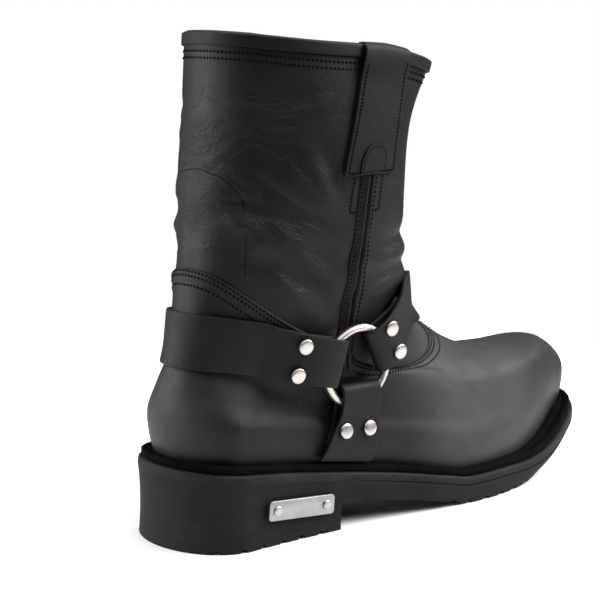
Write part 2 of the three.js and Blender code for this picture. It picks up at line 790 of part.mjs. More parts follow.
function ringGeometry(plane) {
  const rings = shares(24).slice(0, -1).map((share) => {
    const turn = share * 2 * Math.PI;
    const radial = plane.forward.clone().multiplyScalar(Math.cos(turn))
      .addScaledVector(plane.up, Math.sin(turn));
    return shares(6).slice(0, -1).map((part) => {
      const round = part * 2 * Math.PI;
      return plane.middle.clone()
        .addScaledVector(radial, ringRadius + (ringRod / 2) * Math.cos(round))
        .addScaledVector(plane.out, (ringRod / 2) * Math.sin(round));
    });
  });
  return loft(rings, true);
}

// Distances from the ring's middle along a strap: where its pocket for the rod ends, where it is
// one layer again, and where it lies on the boot.
const pocketEnd = ringRadius + rodClear + pocketPlay;
const underFrom = 35;
const overFrom = 32;

// Each strap's way from the ring: an angle up from straight forward, how far it then bends
// upwards, a shift across it, its full width, where it has come down to the boot, where its
// turned-back layer ends and where it lies on the boot.
const heelRun = {
  angle: 167,
  bend: 0,
  shift: 0,
  width: heelStrapWidth,
  seated: 46,
  turnBack: 46,
  laid: 62,
};
const instepRun = {
  angle: 29,
  bend: 12,
  shift: 0.5,
  width: instepStrapWidth,
  seated: 36,
  turnBack: 44,
  laid: 58,
};
const soleRun = {
  angle: -90,
  bend: 0,
  shift: 2,
  width: soleStrapWidth,
  seated: 43,
  turnBack: 43,
  laid: 52,
};

const acrossStrap = shares(3).map((share) => share * 2 - 1);

// One end of a strap: stations from the tip of its turned-back layer, round the rod, and out to
// where it lies on the boot. route gives the skin below a distance and a share across.
function strapEnd(plane, run, route) {
  const heading = (degrees) => plane.forward.clone().multiplyScalar(Math.cos(degToRad(degrees)))
    .addScaledVector(plane.up, Math.sin(degToRad(degrees)));
  const sideways = (along) => {
    const across = new THREE.Vector3().crossVectors(plane.out, along);
    return across.dot(run.angle < 0 ? plane.forward : plane.up) < 0 ? across.negate() : across;
  };
  const along = heading(run.angle);
  const edge = foldWidth / 2 + Math.abs(run.shift);
  const rodAtEdge = Math.sqrt(ringRadius ** 2 - edge ** 2);
  const fold = rodAtEdge - rodClear * (ringRadius / rodAtEdge - 1);
  const widthAt = (distance) => lerp(foldWidth, run.width, smoothstep(distance, pocketEnd, run.turnBack));
  const planar = (distance, share, height) => {
    const bent = smoothstep(distance, pocketEnd, run.turnBack) * run.bend;
    const straight = Math.min(distance, pocketEnd);
    return plane.middle.clone()
      .addScaledVector(along, straight)
      .addScaledVector(heading(run.angle + bent / 2), distance - straight)
      .addScaledVector(sideways(heading(run.angle + bent)), run.shift + (share * widthAt(distance)) / 2)
      .addScaledVector(plane.out, height);
  };
  const liftAt = (distance) => strapClear
    + (strapThickness + gap) * (1 - smoothstep(distance, run.turnBack, run.laid));
  const outer = (distance, share) => {
    const flat = planar(distance, share, rodClear);
    const place = route(planar(distance, share, 0), distance, share);
    const ease = smoothstep(distance, pocketEnd - 2, run.seated);
    return {
      point: flat.lerp(lifted(place, liftAt(distance)), ease),
      normal: plane.out.clone().lerp(place.normal, ease).normalize(),
    };
  };
  const under = (distance, drop) => acrossStrap.map((share) => {
    const { point, normal } = outer(distance, share);
    return { point: point.addScaledVector(normal, -drop), normal: normal.negate() };
  });
  const over = (distance) => acrossStrap.map((share) => outer(distance, share));
  const stations = [
    under(run.turnBack, gap),
    under((run.turnBack + underFrom) / 2, gap),
    under(underFrom, gap),
    under((underFrom + pocketEnd) / 2, lerp(gap, 2 * rodClear, 0.55)),
    under(pocketEnd, 2 * rodClear),
  ];
  for (const share of shares(4)) {
    const turn = Math.PI * (share - 0.5);
    stations.push(acrossStrap.map((part) => ({
      point: planar(fold - rodClear * Math.cos(turn), part, rodClear * Math.sin(turn)),
      normal: along.clone().multiplyScalar(-Math.cos(turn)).addScaledVector(plane.out, Math.sin(turn)),
    })));
  }
  stations.push(over(pocketEnd));
  for (const share of shares(4)) stations.push(over(lerp(overFrom, run.laid, share)));
  return { stations, outer, widthAt };
}

// Beyond its end a strap round the boot climbs from its start to a height at the middle line.
function wrapStations(side, start, wrap, width, count) {
  const from = Math.atan2(Math.abs(start.y), start.x - wrap.axisX);
  const centre = (share) => {
    const turn = lerp(from, wrap.middleAngle, share);
    const height = lerp(start.z, wrap.middleHeight, Math.sin((share * Math.PI) / 2));
    return onSkin(new THREE.Vector3(wrap.axisX + Math.cos(turn), side * Math.sin(turn), height), wrap.axisX);
  };
  return shares(count).slice(1).map((share) => {
    const { point, normal } = centre(share);
    const before = centre(share - 0.01).point;
    const after = share < 1 ? centre(share + 0.01).point : new THREE.Vector3(before.x, -before.y, before.z);
    const across = new THREE.Vector3().crossVectors(normal, after.sub(before)).normalize();
    if (across.z < 0) across.negate();
    return acrossStrap.map((part) => {
      const place = onSkin(point.clone().addScaledVector(across, (part * width) / 2), wrap.axisX);
      return { point: lifted(place, strapClear), normal: place.normal };
    });
  });
}

const heelWrap = { axisX: heelAxisShare * soleLength, middleAngle: Math.PI, middleHeight: heelStrapHeight };
const instepWrap = { axisX: instepAxisShare * soleLength, middleAngle: 0, middleHeight: instepStrapHeight };
const soleFootX = soleFootShare * soleLength;

// The strap to the sole leans back a little on its way down to the welt.
function soleRoute(side) {
  return (place, distance, share) => {
    const down = Math.max(0, (distance - pocketEnd) / (soleRun.laid - pocketEnd));
    const width = lerp(foldWidth, soleStrapFootWidth, Math.sqrt(Math.min(down, 1)));
    const x = lerp(ringX + soleRun.shift, soleFootX, Math.min(down, 1)) + (share * width) / 2;
    const foot = bedHeight(x) + weltThickness + strapFootClear;
    return besideSkin(x, lerp(ringHeight - pocketEnd, foot, down), side);
  };
}

function rivetGeometry({ point, normal }) {
  const radius = rivetDiameter / 2;
  const profile = [
    new THREE.Vector2(0, 0),
    new THREE.Vector2(radius, 0),
    new THREE.Vector2(radius * 0.94, rivetHeight * 0.45),
    new THREE.Vector2(radius * 0.6, rivetHeight * 0.88),
    new THREE.Vector2(0, rivetHeight),
  ];
  return turned(profile, 8, point, normal);
}

// A round solid from its profile, set on a point with its axis along a direction.
function turned(profile, segments, point, axis) {
  const lathe = new THREE.LatheGeometry(profile, segments);
  lathe.deleteAttribute('normal');
  lathe.deleteAttribute('uv');
  lathe.applyQuaternion(new THREE.Quaternion().setFromUnitVectors(new THREE.Vector3(0, 1, 0), axis));
  lathe.translate(point.x, point.y, point.z);
  return closedBody(lathe.attributes.position.array, trianglesOf(lathe));
}

function trianglesOf(geometry) {
  const index = Array.from(geometry.index.array);
  return shares(index.length / 3 - 1).map((_, k) => index.slice(k * 3, k * 3 + 3));
}

// How far a strap's surface stands above a place, at the most, within a rivet's footprint.
function reachAbove(strap, { point, normal }, radius) {
  const high = 10;
  const sideways = new THREE.Vector3().crossVectors(normal, new THREE.Vector3(0, 0, 1)).normalize();
  const upward = new THREE.Vector3().crossVectors(sideways, normal);
  const down = normal.clone().negate();
  const samples = shares(12).map((share) => share * 2 * Math.PI).flatMap((turn) => [0.5, 1].map((part) => {
    const start = lifted({ point, normal }, high)
      .addScaledVector(sideways, radius * part * Math.cos(turn))
      .addScaledVector(upward, radius * part * Math.sin(turn));
    caster.set(start, down);
    return high - caster.intersectObject(strap, false)[0].distance;
  }));
  return Math.max(...samples);
}

// Two rivets side by side across a strap, seated on its outer face.
function addRivets(strap, name, side, end, distance) {
  const mesh = new THREE.Mesh(strap, new THREE.MeshBasicMaterial({ side: THREE.DoubleSide }));
  const share = rivetSpacing / end.widthAt(distance);
  for (const [place, part] of [['low', -share], ['high', share]]) {
    const { point, normal } = end.outer(distance, part);
    const rise = reachAbove(mesh, { point, normal }, rivetDiameter / 2);
    const seat = lifted({ point, normal }, rise + gap);
    add(`${name}_rivet_${place}_${sideName(side)}`, rivetGeometry({ point: seat, normal }), nickel());
  }
}

const ends = [lateral, medial].map((side) => {
  const plane = ringPlane(side);
  const heel = strapEnd(plane, heelRun, (place) => onSkin(place, heelWrap.axisX));
  const instep = strapEnd(plane, instepRun, (place) => onSkin(place, instepWrap.axisX));
  const sole = strapEnd(plane, soleRun, soleRoute(side));
  const beyond = (end, run, wrap, width, count) => [
    ...end.stations,
    ...wrapStations(side, end.outer(run.laid, 0).point, wrap, width, count),
  ];
  return {
    side,
    plane,
    heel,
    instep,
    sole,
    heelHalf: beyond(heel, heelRun, heelWrap, heelStrapWidth, 9),
    instepHalf: beyond(instep, instepRun, instepWrap, instepStrapWidth, 5),
  };
});

// The two halves of a strap meet on the boot's middle line.
const joinHalves = ([near, far]) => strip([...near, ...far.slice(0, -1).reverse()], strapThickness);
const heelStrap = joinHalves(ends.map(({ heelHalf }) => heelHalf));
const instepStrap = joinHalves(ends.map(({ instepHalf }) => instepHalf));

add('heel_strap', heelStrap, leather());
add('instep_strap', instepStrap, leather());

for (const { side, plane, heel, instep, sole } of ends) {
  add(`ring_${sideName(side)}`, ringGeometry(plane), nickel());
  const soleStrap = strip(sole.stations, strapThickness);
  add(`sole_strap_${sideName(side)}`, soleStrap, leather());
  addRivets(heelStrap, 'heel', side, heel, heelRivets);
  addRivets(instepStrap, 'instep', side, instep, instepRivets);
  addRivets(soleStrap, 'sole', side, sole, soleRivets);
}

// Badge on the lateral side of the heel

const badgeX = badgeShare * soleLength;

// The heel block's lateral side at the badge's height.
const heelSide = (x) => read(outline, 'lateral', x / soleLength) * ballWidth - heelHollow;

function badgePlane() {
  const back = heelSide(badgeX - badgeLength / 2);
  const front = heelSide(badgeX + badgeLength / 2);
  const turn = new THREE.Quaternion().setFromEuler(
    new THREE.Euler(0, degToRad(badgeTilt), Math.atan2(back - front, badgeLength)),
  );
  return { turn, middle: new THREE.Vector3(badgeX, -(back + front) / 2 - 2 * gap, badgeZ) };
}

function onBadge(along, up, out) {
  const { turn, middle } = badgePlane();
  return new THREE.Vector3(along, -out, up).applyQuaternion(turn).add(middle);
}

function badgeGeometry() {
  const rows = [0, 0.3, 1].map((share) => share * badgeCorner);
  const front = rows.map((inward) => badgeLength / 2 - inward).reverse();
  const back = rows.map((inward) => inward - badgeLength / 2);
  return loft([...back, ...front].map((x) => {
    const inward = Math.max(0, badgeCorner - (badgeLength / 2 - Math.abs(x)));
    const half = badgeHeight / 2 - badgeCorner + Math.sqrt(Math.max(0, badgeCorner ** 2 - inward ** 2));
    return [
      onBadge(x, -half, 0),
      onBadge(x, half, 0),
      onBadge(x, half, badgeThickness),
      onBadge(x, -half, badgeThickness),
    ];
  }));
}

add('badge_plate', badgeGeometry(), steel());

for (const [name, end] of [['back', -1], ['front', 1]]) {
  const seat = onBadge((end * (badgeLength - badgeHeight)) / 2, 0, badgeThickness + gap);
  const axis = new THREE.Vector3(0, -1, 0).applyQuaternion(badgePlane().turn);
  const radius = badgeScrewDiameter / 2;
  const profile = [
    new THREE.Vector2(0, 0),
    new THREE.Vector2(radius, 0),
    new THREE.Vector2(radius, badgeScrewHeight * 0.6),
    new THREE.Vector2(radius * 0.7, badgeScrewHeight),
    new THREE.Vector2(0, badgeScrewHeight),
  ];
  add(`badge_screw_${name}`, turned(profile, 8, seat, axis), steel());
}

export default boot;
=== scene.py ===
import math

import bmesh
import bpy
import numpy as np
from mathutils import Matrix, Vector
from mathutils.bvhtree import BVHTree
from mathutils.kdtree import KDTree


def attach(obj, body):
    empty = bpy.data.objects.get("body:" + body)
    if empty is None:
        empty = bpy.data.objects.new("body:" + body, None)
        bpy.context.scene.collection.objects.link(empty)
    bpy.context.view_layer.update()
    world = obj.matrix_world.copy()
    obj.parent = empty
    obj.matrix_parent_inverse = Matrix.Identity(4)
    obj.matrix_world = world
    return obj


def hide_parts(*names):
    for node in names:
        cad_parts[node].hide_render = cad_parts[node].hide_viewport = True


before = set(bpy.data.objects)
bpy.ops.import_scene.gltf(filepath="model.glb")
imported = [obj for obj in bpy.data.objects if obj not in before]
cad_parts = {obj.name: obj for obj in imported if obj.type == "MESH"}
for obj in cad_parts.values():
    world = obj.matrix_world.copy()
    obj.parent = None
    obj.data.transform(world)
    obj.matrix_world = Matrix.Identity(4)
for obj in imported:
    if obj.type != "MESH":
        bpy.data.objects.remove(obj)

# A harness boot for the right foot. Sizes below are in millimetres, measured from the back
# of the heel along X, with -Y to the lateral side, and shifted and turned into metres at the end.
MM = 0.001
SOLE_LENGTH = 318
BALL_WIDTH = 110
HEEL_RISE = 28.6
TOE_SPRING = 21
HEEL_LENGTH = 91
HEEL_FADE = 1.45
HEEL_ROUND = 31
TOE_ROUND = 92
TOE_BLUNTNESS = 2.25
TOE_BEVEL = 10
TOE_THINNING = 0.26
HEEL_FEATHER = 1.6
TOE_FEATHER = 6
OUTSOLE = 10
MIDSOLE = 4.7
WELT = 4
WELT_INSET = 2.4
SEAT_TUCK = 0.6
HEEL_HOLLOW = 1.1
BREAST_SLANT = 2
TREAD_DEPTH = 1.8
TREAD_WIDTH = 2.2
TREAD_PITCH = 13
BOOT_HEIGHT = 262
RIM_DROP = 12
RIM_SIDE_DROP = 4
INSTEP_HEIGHT = 80
SHAFT_WIDTH = 108
WALL = 2.2
OVERLAY_STEP = 1.4
BINDING_DEPTH = 5.4
PULL_STRAP_LENGTH = 66
PULL_STRAP_WIDTH = 33
PULL_STRAP_FOOT = 38
TAB_FOOT_CLEAR = 1.5
RING_HEIGHT = 90
COLLAR_DIP = 5
COLLAR_RISE = 2.2
FOLD_SQUEEZE = 1.7
GAP = 0.3
COLUMNS = 28
SEAM_COLUMN = 10
SEAM_LOOP = 7

OUTLINE = np.array([
    (0.00, 0.372, 0.380), (0.14, 0.374, 0.376), (0.27, 0.392, 0.346), (0.40, 0.430, 0.322),
    (0.52, 0.484, 0.386), (0.62, 0.500, 0.468), (0.71, 0.486, 0.500), (0.82, 0.448, 0.482),
    (0.92, 0.405, 0.452), (1.00, 0.404, 0.430)])
BED = np.array([
    (0.00, 1.00, 0.00), (0.14, 0.83, 0.00), (0.28, 0.60, 0.00), (0.42, 0.34, 0.00),
    (0.52, 0.12, 0.00), (0.58, 0.00, 0.00), (0.72, 0.00, 0.00), (0.78, 0.00, 0.07),
    (0.85, 0.00, 0.28), (0.92, 0.00, 0.60), (1.00, 0.00, 1.00)])
FEATHER = np.array([
    (0.00, 0.40, 0.00), (0.04, 1.00, 0.00), (0.16, 0.00, 0.00), (0.62, 0.00, 0.00),
    (0.86, 0.00, 1.00), (0.93, 0.00, 1.00), (1.00, 0.00, 0.00)])
# inset, morph, back, seam, front, dip, round, blunt, back, side and front heights, heel, ball
FOOT_LOOPS = [
    (8.4, 0.0, 0.026, 0.309, 0.974, 0.0, 2.6, 2.2, 0.004, 0.004, 0.004, 0.300, 0.420),
    (6.0, 0.0, 0.018, 0.309, 0.982, 0.0, 2.6, 2.2, 0.165, 0.150, 0.140, 0.320, 0.440),
    (6.2, 0.0, 0.019, 0.309, 0.981, 0.0, 2.6, 2.2, 0.340, 0.270, 0.300, 0.320, 0.440),
    (8.5, 0.5, 0.033, 0.309, 0.950, 0.0, 2.6, 2.04, 0.520, 0.370, 0.431, 0.330, 0.425),
    (9.0, 1.0, 0.048, 0.309, 0.912, 0.0, 2.6, 2.15, 0.710, 0.455, 0.605, 0.328, 0.394),
    (9.0, 1.0, 0.057, 0.309, 0.842, 0.0, 2.6, 2.67, 0.900, 0.540, 0.676, 0.330, 0.365),
    (9.0, 1.0, 0.067, 0.308, 0.715, 0.017, 2.6, 2.63, 1.095, 0.640, 0.783, 0.338, 0.338),
    (9.0, 1.0, 0.075, 0.306, 0.596, 0.205, 2.6, 2.35, 1.290, 0.870, 1.020, 0.352, 0.335)]
# rise, back, seam, front, width, round, blunt
SHAFT_LOOPS = [
    (0.14, 0.082, 0.308, 0.524, 0.392, 2.4, 2.25), (0.33, 0.083, 0.308, 0.506, 0.455, 2.2, 2.2),
    (0.57, 0.096, 0.317, 0.501, 0.492, 2.05, 2.1), (0.80, 0.104, 0.337, 0.513, 0.500, 2.05, 2.1),
    (1.00, 0.104, 0.353, 0.565, 0.490, 2.05, 2.1)]

LATERAL = -1
MEDIAL = 1
SIDE_NAMES = {LATERAL: "lateral", MEDIAL: "medial"}


def smooth(value, low, high):
    t = min(max((value - low) / (high - low), 0.0), 1.0)
    return t * t * (3 - 2 * t)


def eased(values, low, high):
    t = np.clip((np.asarray(values) - low) / (high - low), 0, 1)
    return t * t * (3 - 2 * t)


def mix(a, b, t):
    return a + (b - a) * t


def read(table, column, at):
    """A table's value between its rows, with no overshoot."""
    places, values = table[:, 0], table[:, column]
    if at <= places[0]:
        return values[0]
    if at >= places[-1]:
        return values[-1]
    slopes = np.diff(values) / np.diff(places)

    def tangent(k):
        if k in (0, len(places) - 1):
            return slopes[min(k, len(slopes) - 1)]
        product = slopes[k - 1] * slopes[k]
        return 0.0 if product <= 0 else 2 * product / (slopes[k - 1] + slopes[k])

    k = int(np.searchsorted(places, at, side="right")) - 1
    span = places[k + 1] - places[k]
    t = (at - places[k]) / span
    return (values[k] + (values[k + 1] - values[k]) * t * t * (3 - 2 * t)
            + span * t * (1 - t) * (tangent(k) * (1 - t) - tangent(k + 1) * t))


def round_end(distance, length, bluntness):
    inward = min(max(distance / length, 0.0), 1.0)
    return (1 - (1 - inward) ** bluntness) ** (1 / bluntness)


def outline_point(angle, side):
    at = (1 - math.cos(angle)) / 2
    x = at * SOLE_LENGTH
    half = read(OUTLINE, 1 if side == LATERAL else 2, at) * BALL_WIDTH
    ends = round_end(x, HEEL_ROUND, 2) * round_end(SOLE_LENGTH - x, TOE_ROUND, TOE_BLUNTNESS)
    return np.array((x, side * half * ends))


def sole_point(angle, side, inset):
    small = 0.01
    before = outline_point(small, -side) if angle < small else outline_point(angle - small, side)
    past = angle > math.pi - small
    after = outline_point(math.pi - small, -side) if past else outline_point(angle + small, side)
    along = after - before
    along /= np.linalg.norm(along)
    return outline_point(angle, side) + np.array((side * along[1], -side * along[0])) * inset


def bed_height(x):
    at = x / SOLE_LENGTH
    soles = OUTSOLE + MIDSOLE + GAP
    return soles + HEEL_RISE * read(BED, 1, at) + TOE_SPRING * read(BED, 2, at)


def seat_inset(x):
    return SEAT_TUCK * (1 - smooth(x, HEEL_LENGTH, HEEL_LENGTH * HEEL_FADE))


def feather_inset(x):
    at = x / SOLE_LENGTH
    return HEEL_FEATHER * read(FEATHER, 1, at) + TOE_FEATHER * read(FEATHER, 2, at)


def loop_share(column, back, seam, front):
    seam_angle = math.acos(1 - 2 * (seam - back) / (front - back))
    if column <= SEAM_COLUMN:
        angle = seam_angle * column / SEAM_COLUMN
    else:
        angle = mix(seam_angle, math.pi, (column - SEAM_COLUMN) / (COLUMNS - SEAM_COLUMN))
    return (1 - math.cos(angle)) / 2


def oval(share, heel_power, toe_power):
    power = heel_power if share < 0.5 else toe_power
    return max(0.0, 1 - abs(2 * share - 1) ** power) ** (1 / power)


def loop_height(column, back, side, front, dip=0.0):
    if column <= SEAM_COLUMN:
        return mix(back, side, smooth(column, 0, SEAM_COLUMN) ** 1.12)
    forward = (column - SEAM_COLUMN) / (COLUMNS - SEAM_COLUMN)
    rising = mix(side, front, math.sin(forward * math.pi / 2))
    return rising - dip * math.sin(math.pi * forward ** 0.6)


def foot_point(loop, column, side):
    inset, morph, back, seam, front, dip, heel_power, toe_power, low, beside, high, heel, ball = loop
    share = loop_share(column, back, seam, front)
    width = mix(heel, ball, smooth(share, 0.25, 0.7)) * BALL_WIDTH
    beyond_middle = side * width * oval(share, heel_power, toe_power)
    own = np.array((mix(back, front, share) * SOLE_LENGTH, beyond_middle))
    angle = math.pi * column / COLUMNS
    flat = sole_point(angle, side, inset + feather_inset(outline_point(angle, side)[0]))
    flat = flat + (own - flat) * morph
    height = INSTEP_HEIGHT * loop_height(column, low, beside, high, dip)
    return np.array((flat[0], flat[1], bed_height(flat[0]) + height))


def shaft_point(loop, column, side, start):
    rise, back, seam, front, width, heel_power, toe_power = loop
    share = loop_share(column, back, seam, front)
    rim = BOOT_HEIGHT - loop_height(column, 0, RIM_SIDE_DROP, RIM_DROP)
    beyond_middle = side * width * SHAFT_WIDTH * oval(share, heel_power, toe_power)
    return np.array((mix(back, front, share) * SOLE_LENGTH, beyond_middle, mix(start, rim, rise)))


def column_curve(column, side, loops):
    """Points of the upper's outer face up one column, at places counted in loops from the feather line."""
    knots = [foot_point(loop, column, side) for loop in FOOT_LOOPS]
    start = knots[-1][2]
    knots += [shaft_point(loop, column, side, start) for loop in SHAFT_LOOPS]
    knots = np.array([2 * knots[0] - knots[1]] + knots + [2 * knots[-1] - knots[-2]])
    steps = np.linalg.norm(np.diff(knots, axis=0), axis=1) ** 0.5
    k = np.minimum(np.floor(loops).astype(int), len(knots) - 4)
    t = (loops - k)[:, None]
    p0, p1, p2, p3 = knots[k], knots[k + 1], knots[k + 2], knots[k + 3]
    d0, d1, d2 = steps[k][:, None], steps[k + 1][:, None], steps[k + 2][:, None]
    m1 = ((p1 - p0) / d0 - (p2 - p0) / (d0 + d1) + (p2 - p1) / d1) * d1
    m2 = ((p2 - p1) / d1 - (p3 - p1) / (d1 + d2) + (p3 - p2) / d2) * d1
    return (p1 + m1 * t + (3 * (p2 - p1) - 2 * m1 - m2) * t ** 2
            + (2 * (p1 - p2) + m1 + m2) * t ** 3)


def to_metres(points):
    return (np.asarray(points, float) - (SOLE_LENGTH / 2, 0, 0)) * MM


# Ways of making a piece

def finished(name, bm, material, replaced, sharp=35, smooth_all=True):
    mesh = bpy.data.meshes.new(name)
    bm.to_mesh(mesh)
    bm.free()
    mesh.materials.clear()
    mesh.materials.append(material)
    if smooth_all:
        mesh.shade_smooth()
        mesh.set_sharp_from_angle(angle=math.radians(sharp))
    piece = bpy.data.objects.new(name, mesh)
    bpy.context.scene.collection.objects.link(piece)
    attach(piece, "root")
    if replaced:
        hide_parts(*replaced)
    return piece


def shaped_grid(points, closed_across=True, closed_along=False):
    """A grid bent to rows of points, and sewn where the rows or the points of a row close."""
    points = np.asarray(points)
    if closed_across:
        points = np.concatenate([points, points[:, :1]], axis=1)
    if closed_along:
        points = np.concatenate([points, points[:1]], axis=0)
    rows, count = points.shape[:2]
    bm = bmesh.new()
    bmesh.ops.create_grid(bm, x_segments=count - 1, y_segments=rows - 1, size=1)
    for vert, place in zip(bm.verts, points.reshape(-1, 3)):
        vert.co = place
    bmesh.ops.remove_doubles(bm, verts=bm.verts, dist=2e-6)
    bmesh.ops.recalc_face_normals(bm, faces=bm.faces)
    return bm


def dipped(points, squeeze=0.0):
    """Points in mm near the collar, let down towards its front, and a folded strap pressed onto it."""
    points = np.array(points, float)
    x, z = points[..., 0], points[..., 2]
    forward, near_rim = eased(x, 70, 180), eased(z, 190, 256)
    rise = COLLAR_RISE * (1 - eased(x, 25, 80)) * eased(z, 225, 255)
    points[..., 2] = z + rise - COLLAR_DIP * forward * near_rim - squeeze * eased(z, 251, 262)
    return points


def worked_copy(node, name, material, edge=0.5, levels=2, corner=50, squeeze=0.0):
    """A node's form with its edges eased, and rounded by subdivision."""
    bm = bmesh.new()
    bm.from_mesh(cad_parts[node].data)
    for vert in bm.verts:
        vert.co = to_metres(dipped(np.array(vert.co) / MM + (SOLE_LENGTH / 2, 0, 0), squeeze))
    bmesh.ops.remove_doubles(bm, verts=bm.verts, dist=1e-6)
    bmesh.ops.join_triangles(bm, faces=bm.faces, angle_face_threshold=math.radians(40),
                             angle_shape_threshold=math.radians(60))
    hard = [e for e in bm.edges if e.calc_face_angle(0) > math.radians(corner)]
    bmesh.ops.bevel(bm, geom=hard, offset=edge * MM, segments=2, profile=0.5, affect="EDGES",
                    clamp_overlap=True, material=-1)
    piece = finished(name, bm, material, [node], sharp=60)
    rounding = piece.modifiers.new("rounding", "SUBSURF")
    rounding.levels = levels
    rounding.render_levels = levels
    return piece


def surface_of(piece):
    bpy.context.view_layer.update()
    return BVHTree.FromObject(piece, bpy.context.evaluated_depsgraph_get())


# Materials

def new_material(name):
    material = bpy.data.materials.new(name)
    material.use_nodes = True
    nodes, links = material.node_tree.nodes, material.node_tree.links
    shader = nodes["Principled BSDF"]
    place = nodes.new("ShaderNodeTexCoord").outputs["Object"]
    return material, nodes, links, shader, place


def noise(nodes, links, place, scale, detail=4, rough=0.55, stretch=None):
    if stretch:
        turn = nodes.new("ShaderNodeMapping")
        turn.inputs["Scale"].default_value = stretch
        links.new(place, turn.inputs["Vector"])
        place = turn.outputs["Vector"]
    node = nodes.new("ShaderNodeTexNoise")
    node.inputs["Scale"].default_value = scale
    node.inputs["Detail"].default_value = detail
    node.inputs["Roughness"].default_value = rough
    links.new(place, node.inputs["Vector"])
    return node.outputs["Fac"]


def cells(nodes, links, place, scale):
    node = nodes.new("ShaderNodeTexVoronoi")
    node.feature = "DISTANCE_TO_EDGE"
    node.inputs["Scale"].default_value = scale
    links.new(place, node.inputs["Vector"])
    return node.outputs["Distance"]


def ramp(nodes, links, factor, stops):
    node = nodes.new("ShaderNodeValToRGB")
    while len(node.color_ramp.elements) < len(stops):
        node.color_ramp.elements.new(0.5)
    for element, (at, colour) in zip(node.color_ramp.elements, stops):
        element.position = at
        element.color = (*colour, 1) if isinstance(colour, tuple) else (colour, colour, colour, 1)
    links.new(factor, node.inputs["Fac"])
    return node.outputs["Color"]


def maths(nodes, links, operation, a, b):
    node = nodes.new("ShaderNodeMath")
    node.operation = operation
    for socket, value in zip(node.inputs, (a, b)):
        if isinstance(value, (int, float)):
            socket.default_value = value
        else:
            links.new(value, socket)
    return node.outputs["Value"]


def bump(nodes, links, shader, height, strength, distance):
    node = nodes.new("ShaderNodeBump")
    node.inputs["Strength"].default_value = strength
    node.inputs["Distance"].default_value = distance * MM
    links.new(height, node.inputs["Height"])
    links.new(node.outputs["Normal"], shader.inputs["Normal"])


def painted_value(nodes, name):
    node = nodes.new("ShaderNodeAttribute")
    node.attribute_name = name
    return node.outputs["Fac"]


def black(value):
    """A black with the slight green-blue cast of dyed leather and rubber."""
    return (0.93 * value, value, 1.01 * value)


def leather(name, dark, light, rough=(0.42, 0.58), grain=0.5, wrinkle=0.0, gloss=0.3, highlight_tones=None):
    """Black pull-up leather: fine pebbled grain, cloudy rubbed patches and a soft grey sheen, with paler
    tones blended in as painted highlight where the upper is marked for it.
    """
    material, nodes, links, shader, place = new_material(name)
    clouds = noise(nodes, links, place, 22, 5, 0.6)
    colour = ramp(nodes, links, clouds, [(0.35, black(dark)), (0.7, black(light))])
    # Painted highlight: a paler copy of the colour, blended in where the upper is marked for painted light
    if highlight_tones:
        pale = ramp(nodes, links, clouds, [(0.35, black(highlight_tones[0])), (0.7, black(highlight_tones[1]))])
        blend = nodes.new("ShaderNodeMix")
        blend.data_type = "RGBA"
        links.new(painted_value(nodes, "painted_highlight"), blend.inputs["Factor"])
        links.new(colour, blend.inputs["A"])
        links.new(pale, blend.inputs["B"])
        colour = blend.outputs["Result"]
    links.new(colour, shader.inputs["Base Color"])
    links.new(ramp(nodes, links, noise(nodes, links, place, 60, 3), [(0.3, rough[0]), (0.7, rough[1])]),
              shader.inputs["Roughness"])
    pebbles = cells(nodes, links, place, 900)
    pores = noise(nodes, links, place, 2600, 2)
    height = maths(nodes, links, "ADD", maths(nodes, links, "MULTIPLY", pebbles, 0.8),
                   maths(nodes, links, "MULTIPLY", pores, 0.35))
    if wrinkle:
        worn = painted_value(nodes, "worn")
        spread = nodes.new("ShaderNodeCombineXYZ")
        across = painted_value(nodes, "across_crease")
        along = painted_value(nodes, "along_crease")
        links.new(maths(nodes, links, "MULTIPLY", across, 0.55), spread.inputs["X"])
        links.new(maths(nodes, links, "MULTIPLY", along, 0.07), spread.inputs["Y"])
        links.new(maths(nodes, links, "MULTIPLY", worn, 1.5), spread.inputs["Z"])
        beside = noise(nodes, links, spread.outputs["Vector"], 1, 4, 0.6)
        lines = noise(nodes, links, place, 150, 5, 0.62, stretch=(1, 1, 3.4))
        fine = maths(nodes, links, "ADD", maths(nodes, links, "MULTIPLY", beside, 3.4 * wrinkle), lines)
        height = maths(nodes, links, "ADD", height, maths(nodes, links, "MULTIPLY", fine, maths(
            nodes, links, "ADD", maths(nodes, links, "MULTIPLY", worn, 1.8 * wrinkle), 0.3)))
    bump(nodes, links, shader, height, grain, 0.45)
    shader.inputs["Specular IOR Level"].default_value = gloss
    return material


def rubber(name, dark, light, lines=1.0):
    """Moulded sole rubber with fine level striations left by the finishing wheel."""
    material, nodes, links, shader, place = new_material(name)
    streaks = noise(nodes, links, place, 60, 4, 0.7, stretch=(0.35, 0.35, 14))
    mottle = noise(nodes, links, place, 45, 4, 0.6)
    blend = maths(nodes, links, "ADD", maths(nodes, links, "MULTIPLY", streaks, 0.55),
                  maths(nodes, links, "MULTIPLY", mottle, 0.45))
    colour = ramp(nodes, links, blend, [(0.35, black(dark)), (0.68, black(light))])
    links.new(colour, shader.inputs["Base Color"])
    shader.inputs["Roughness"].default_value = 0.7
    shader.inputs["Specular IOR Level"].default_value = 0.16
    speck = noise(nodes, links, place, 1500, 2)
    height = maths(nodes, links, "ADD", maths(nodes, links, "MULTIPLY", streaks, lines), speck)
    bump(nodes, links, shader, height, 0.35, 0.4)
    return material


